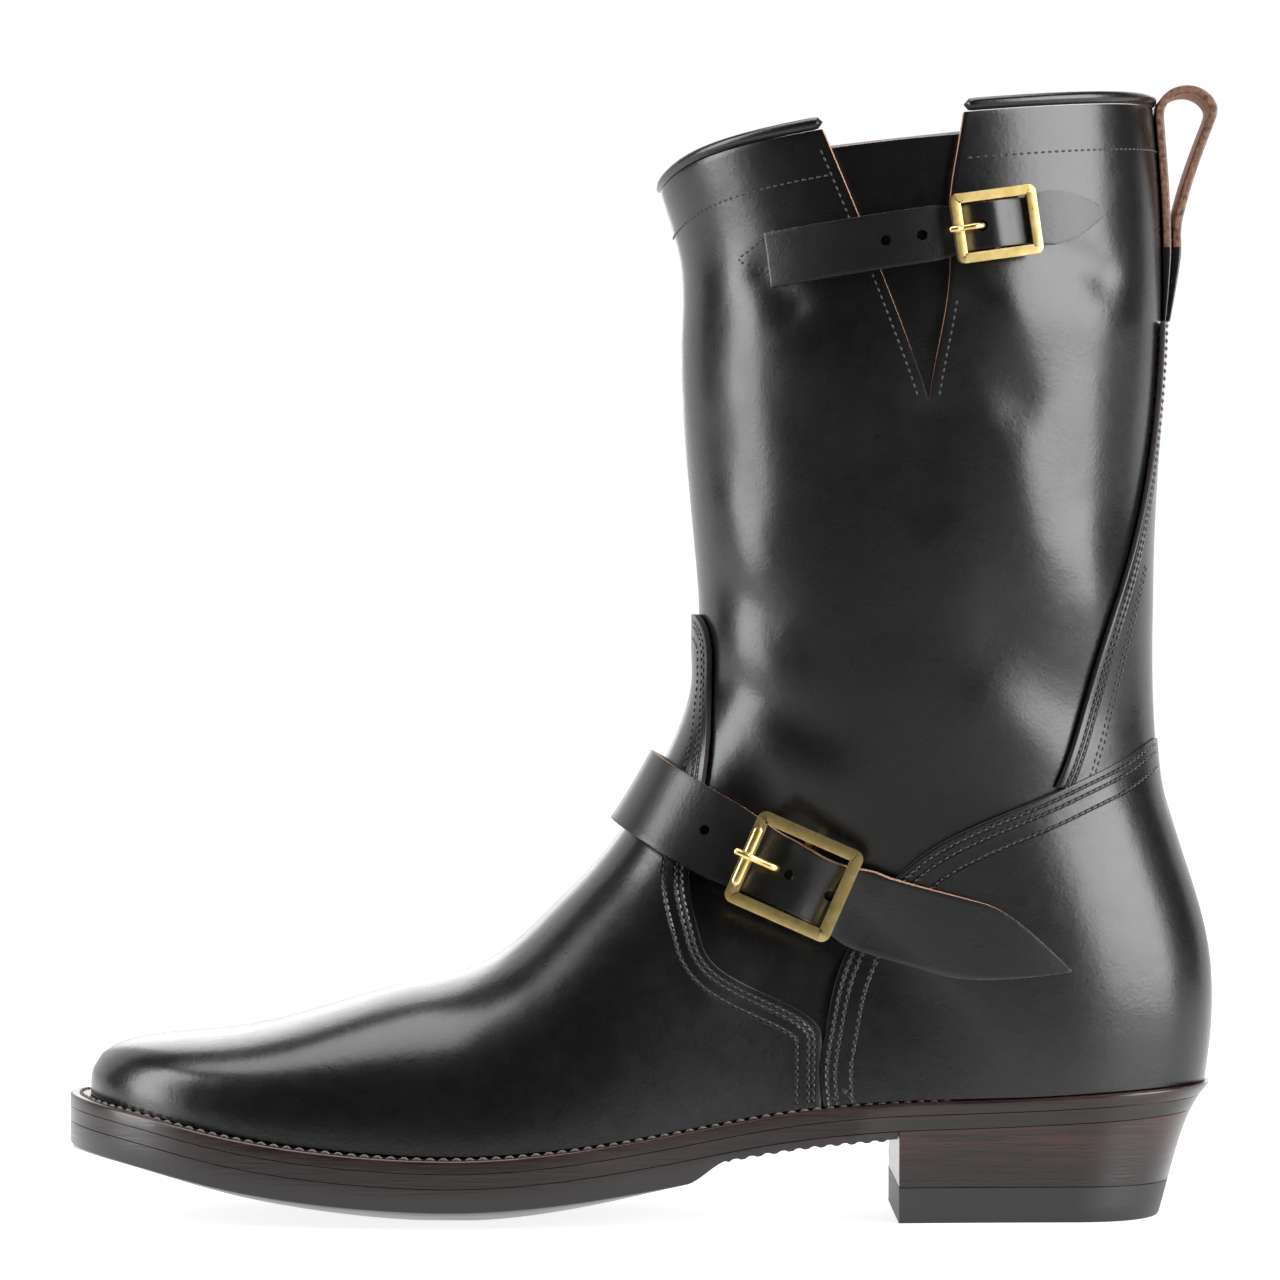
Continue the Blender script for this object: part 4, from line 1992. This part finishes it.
sew("vamp_stitches", vamp_rows(), SEAM_PITCH, THREAD_RADIUS, THREAD)
rows = seam_rows(counter_levels, counter_outer, COUNTER_SEAMS, COUNTER_FACE, 1)
rows += seam_rows(counter_levels, counter_inner, COUNTER_SEAMS, COUNTER_FACE, -1)
sew("counter_stitches", rows, SEAM_PITCH, THREAD_RADIUS, THREAD)
rows = seam_rows(stay_levels, stay_outer, STAY_SEAMS, VAMP_TOP, 1)
rows += seam_rows(stay_levels, stay_inner, STAY_SEAMS, VAMP_TOP, -1)
low_part = stay_levels < level_at(STAY_LINING_TOP, math.pi * 0.8)
rows += seam_rows(stay_levels[low_part], stay_outer[low_part], STAY_LINING_SEAMS, VAMP_TOP, 1)
rows += seam_rows(stay_levels[low_part], stay_inner[low_part], STAY_LINING_SEAMS, VAMP_TOP, -1)
sew("stay_stitches", rows, SEAM_PITCH, THREAD_RADIUS, THREAD)

COLLAR_SEAM = 0.0118      # how far it lies below the rim
COLLAR_SEAM_LEVEL = 0.96
COLLAR_SEAM_END = 0.05    # turn between its ends and the edges of the notch


def collar_seam():
    start = float(back_turn(COLLAR_SEAM_LEVEL)[0]) + COLLAR_SEAM_END
    end = float(front_turn(COLLAR_SEAM_LEVEL)[0]) + 2 * math.pi - COLLAR_SEAM_END
    turns = np.linspace(start, end, 500)
    top = skin(np.ones_like(turns), turns)[0][:, 2]
    level = np.full_like(turns, 0.95)
    for _ in range(5):
        z = skin(level, turns)[0][:, 2]
        rate = (skin(level + 1e-3, turns)[0][:, 2] - z) / 1e-3
        level = level + (top - COLLAR_SEAM - z) / rate
    return sewn_line(level, turns, 0.0)


NOTCH_SEAM = 0.0025


def notch_seam(edge_turn, side, top, count):
    """Row beside one edge of the notch, from just above its lowest point up to a level."""
    levels = np.linspace(APEX_LEVEL + 0.004, top, count)
    turns = edge_turn(levels)
    points = skin(levels, turns)[0]
    shift = NOTCH_SEAM / np.linalg.norm(skin(levels, turns + 1e-3)[0] - points, axis=1) * 1e-3
    return sewn_line(levels, turns + side * shift, 0.0)


def spot(x, z):
    """Place on the outer side of the skin with this x and z: its level and turn."""
    turn, level = math.pi / 2, 0.8
    for _ in range(8):
        level = level_at(z, turn)
        turn = float(crossing(level, lambda height: x + 0 * height, 0.2, 2.9)[0])
    return level, turn


def straight_seam(corners, count=40):
    """Closed row between corners given as (x, z) seen from the outer side."""
    spots = np.array([spot(x, z) for x, z in corners])
    turns_on = np.linspace(0, len(corners) - 1, count)
    number = np.arange(len(corners))
    return sewn_line(np.interp(turns_on, number, spots[:, 0]),
                     np.interp(turns_on, number, spots[:, 1]), 0.0)


SLIT_TRIANGLE = ((0.0350, 0.2470), (0.0247, 0.2510), (0.0348, 0.2585))
sew("collar_stitches", [collar_seam()], SEAM_PITCH, THREAD_RADIUS, THREAD)
notch_rows = [notch_seam(front_turn, -1, 0.985, 120),
              notch_seam(back_turn, 1, APEX_LEVEL + 0.082, 40),
              straight_seam(SLIT_TRIANGLE)]
sew("notch_stitches", notch_rows, SEAM_PITCH, THREAD_RADIUS, THREAD)


# %% [markdown]
# ## Seams of the sole
#
# The welt is sewn through to the sole with a heavy waxed thread. It shows on top of the welt, in
# a groove a little in from the edge, from one side of the heel round the toe to the other.

# %% Welt stitches
WELT_PITCH = 0.0034
WELT_THREAD = 0.00048
WELT_SEAM = 0.0028
WELT_SEAM_END = 0.082


def welt_seam():
    loop = sole_loop(WELT_SEAM, welt_height)
    half = SOLE_TURNS // 2
    order = np.concatenate([np.arange(half, SOLE_TURNS), np.arange(0, half)])
    line = loop[order]
    line = line[line[:, 0] < WELT_SEAM_END]
    return line, np.tile([0.0, 0.0, 1.0], (len(line), 1))


sew("welt_stitches", [welt_seam()], WELT_PITCH, WELT_THREAD, THREAD_PALE, 0.86, 0.15)


# %% [markdown]
# ## Floor, light and camera
#
# The photograph was made in a white cove: the ground runs on into the wall without a line. Tall
# soft boxes stand at the toe and at the heel, so the leather shows broad upright highlights, and
# a third one hangs overhead. The middle of the boot is deep black, because the studio in front of
# it is dark: here the ground shades off towards the camera, outside the picture. The camera looks
# level at the outer side.

# %% Floor
CAMERA_HEIGHT = 0.152
CAMERA_DISTANCE = 1.5
VIEW_WIDTH = 0.3413
VIEW_MIDDLE = -0.0004
COVE_BACK = 3.2
COVE_RADIUS = 0.9
COVE_HEIGHT = 3.5
COVE_REACH = 5.0
COVE_PAINT = (0.30, 0.30, 0.30)
COVE_GLOW = 0.86
COVE_SHADED = 0.04
SHADE_START = -0.26       # the ground in front of the camera's view is flagged off
SHADE_END = -0.17


def make_cove():
    arc = [(COVE_BACK - COVE_RADIUS + COVE_RADIUS * math.sin(t),
            COVE_RADIUS - COVE_RADIUS * math.cos(t)) for t in np.linspace(0, math.pi / 2, 24)]
    profile = [(-COVE_REACH, 0.0), (-1.0, 0.0)] + arc + [(COVE_BACK, COVE_HEIGHT)]
    points = np.array([[(x, y, z) for x in (-COVE_REACH, COVE_REACH)] for y, z in profile])
    piece = laid_grid(points)
    piece.name = "floor"
    piece.data.shade_smooth()
    look, tree, shader = finish_named("white_cove", COVE_PAINT, 0.7)
    shader.inputs["Emission Color"].default_value = (1.0, 1.0, 1.0, 1.0)
    place = add_node(tree, "ShaderNodeTexCoord")
    split = add_node(tree, "ShaderNodeSeparateXYZ", [(place.outputs["Object"], "Vector")])
    glow = spread(tree, split.outputs["Y"], COVE_GLOW * COVE_SHADED, COVE_GLOW,
                  SHADE_START, SHADE_END)
    tree.links.new(glow, shader.inputs["Emission Strength"])
    piece.data.materials.append(look)
    bpy.ops.object.select_all(action="DESELECT")


make_cove()

# %% Light
LightRow = namedtuple("LightRow", "name x y z wide high power")
LIGHTS = [
    LightRow("toe_box", -1.15, -0.22, 0.50, 0.55, 1.4, 20.0),
    LightRow("heel_box", 1.05, -0.62, 0.50, 1.0, 1.3, 36.0),
    LightRow("top_box", -0.15, 0.15, 1.55, 1.4, 1.0, 21.0),
    LightRow("inner_box", 0.2, 1.5, 0.8, 1.6, 1.2, 12.0),
]
AIM = (0.0, 0.0, 0.13)


def make_lights():
    for row in LIGHTS:
        bpy.ops.object.light_add(type="AREA", location=(row.x, row.y, row.z))
        lamp = bpy.context.object
        lamp.name = row.name
        lamp.data.shape = "RECTANGLE"
        lamp.data.size, lamp.data.size_y = row.wide, row.high
        lamp.data.energy = row.power
        away = np.array([row.x, row.y, row.z]) - np.array(AIM)
        flat = math.hypot(away[0], away[1])
        lamp.rotation_euler = (math.atan2(flat, away[2]), 0.0, math.atan2(away[0], -away[1]))
    world = bpy.data.worlds.new("studio")
    world.use_nodes = True
    sky = world.node_tree.nodes["Background"]
    sky.inputs["Color"].default_value = (1.0, 1.0, 1.0, 1.0)
    sky.inputs["Strength"].default_value = WORLD_LIGHT
    bpy.context.scene.world = world
    bpy.context.scene.view_settings.view_transform = "Standard"


WORLD_LIGHT = 0.02
make_lights()

# %% Camera
bpy.ops.object.camera_add(location=(VIEW_MIDDLE, -CAMERA_DISTANCE, CAMERA_HEIGHT),
                          rotation=(math.pi / 2, 0.0, 0.0))
camera = bpy.context.object
camera.data.lens = camera.data.sensor_width * CAMERA_DISTANCE / VIEW_WIDTH
bpy.context.scene.camera = camera
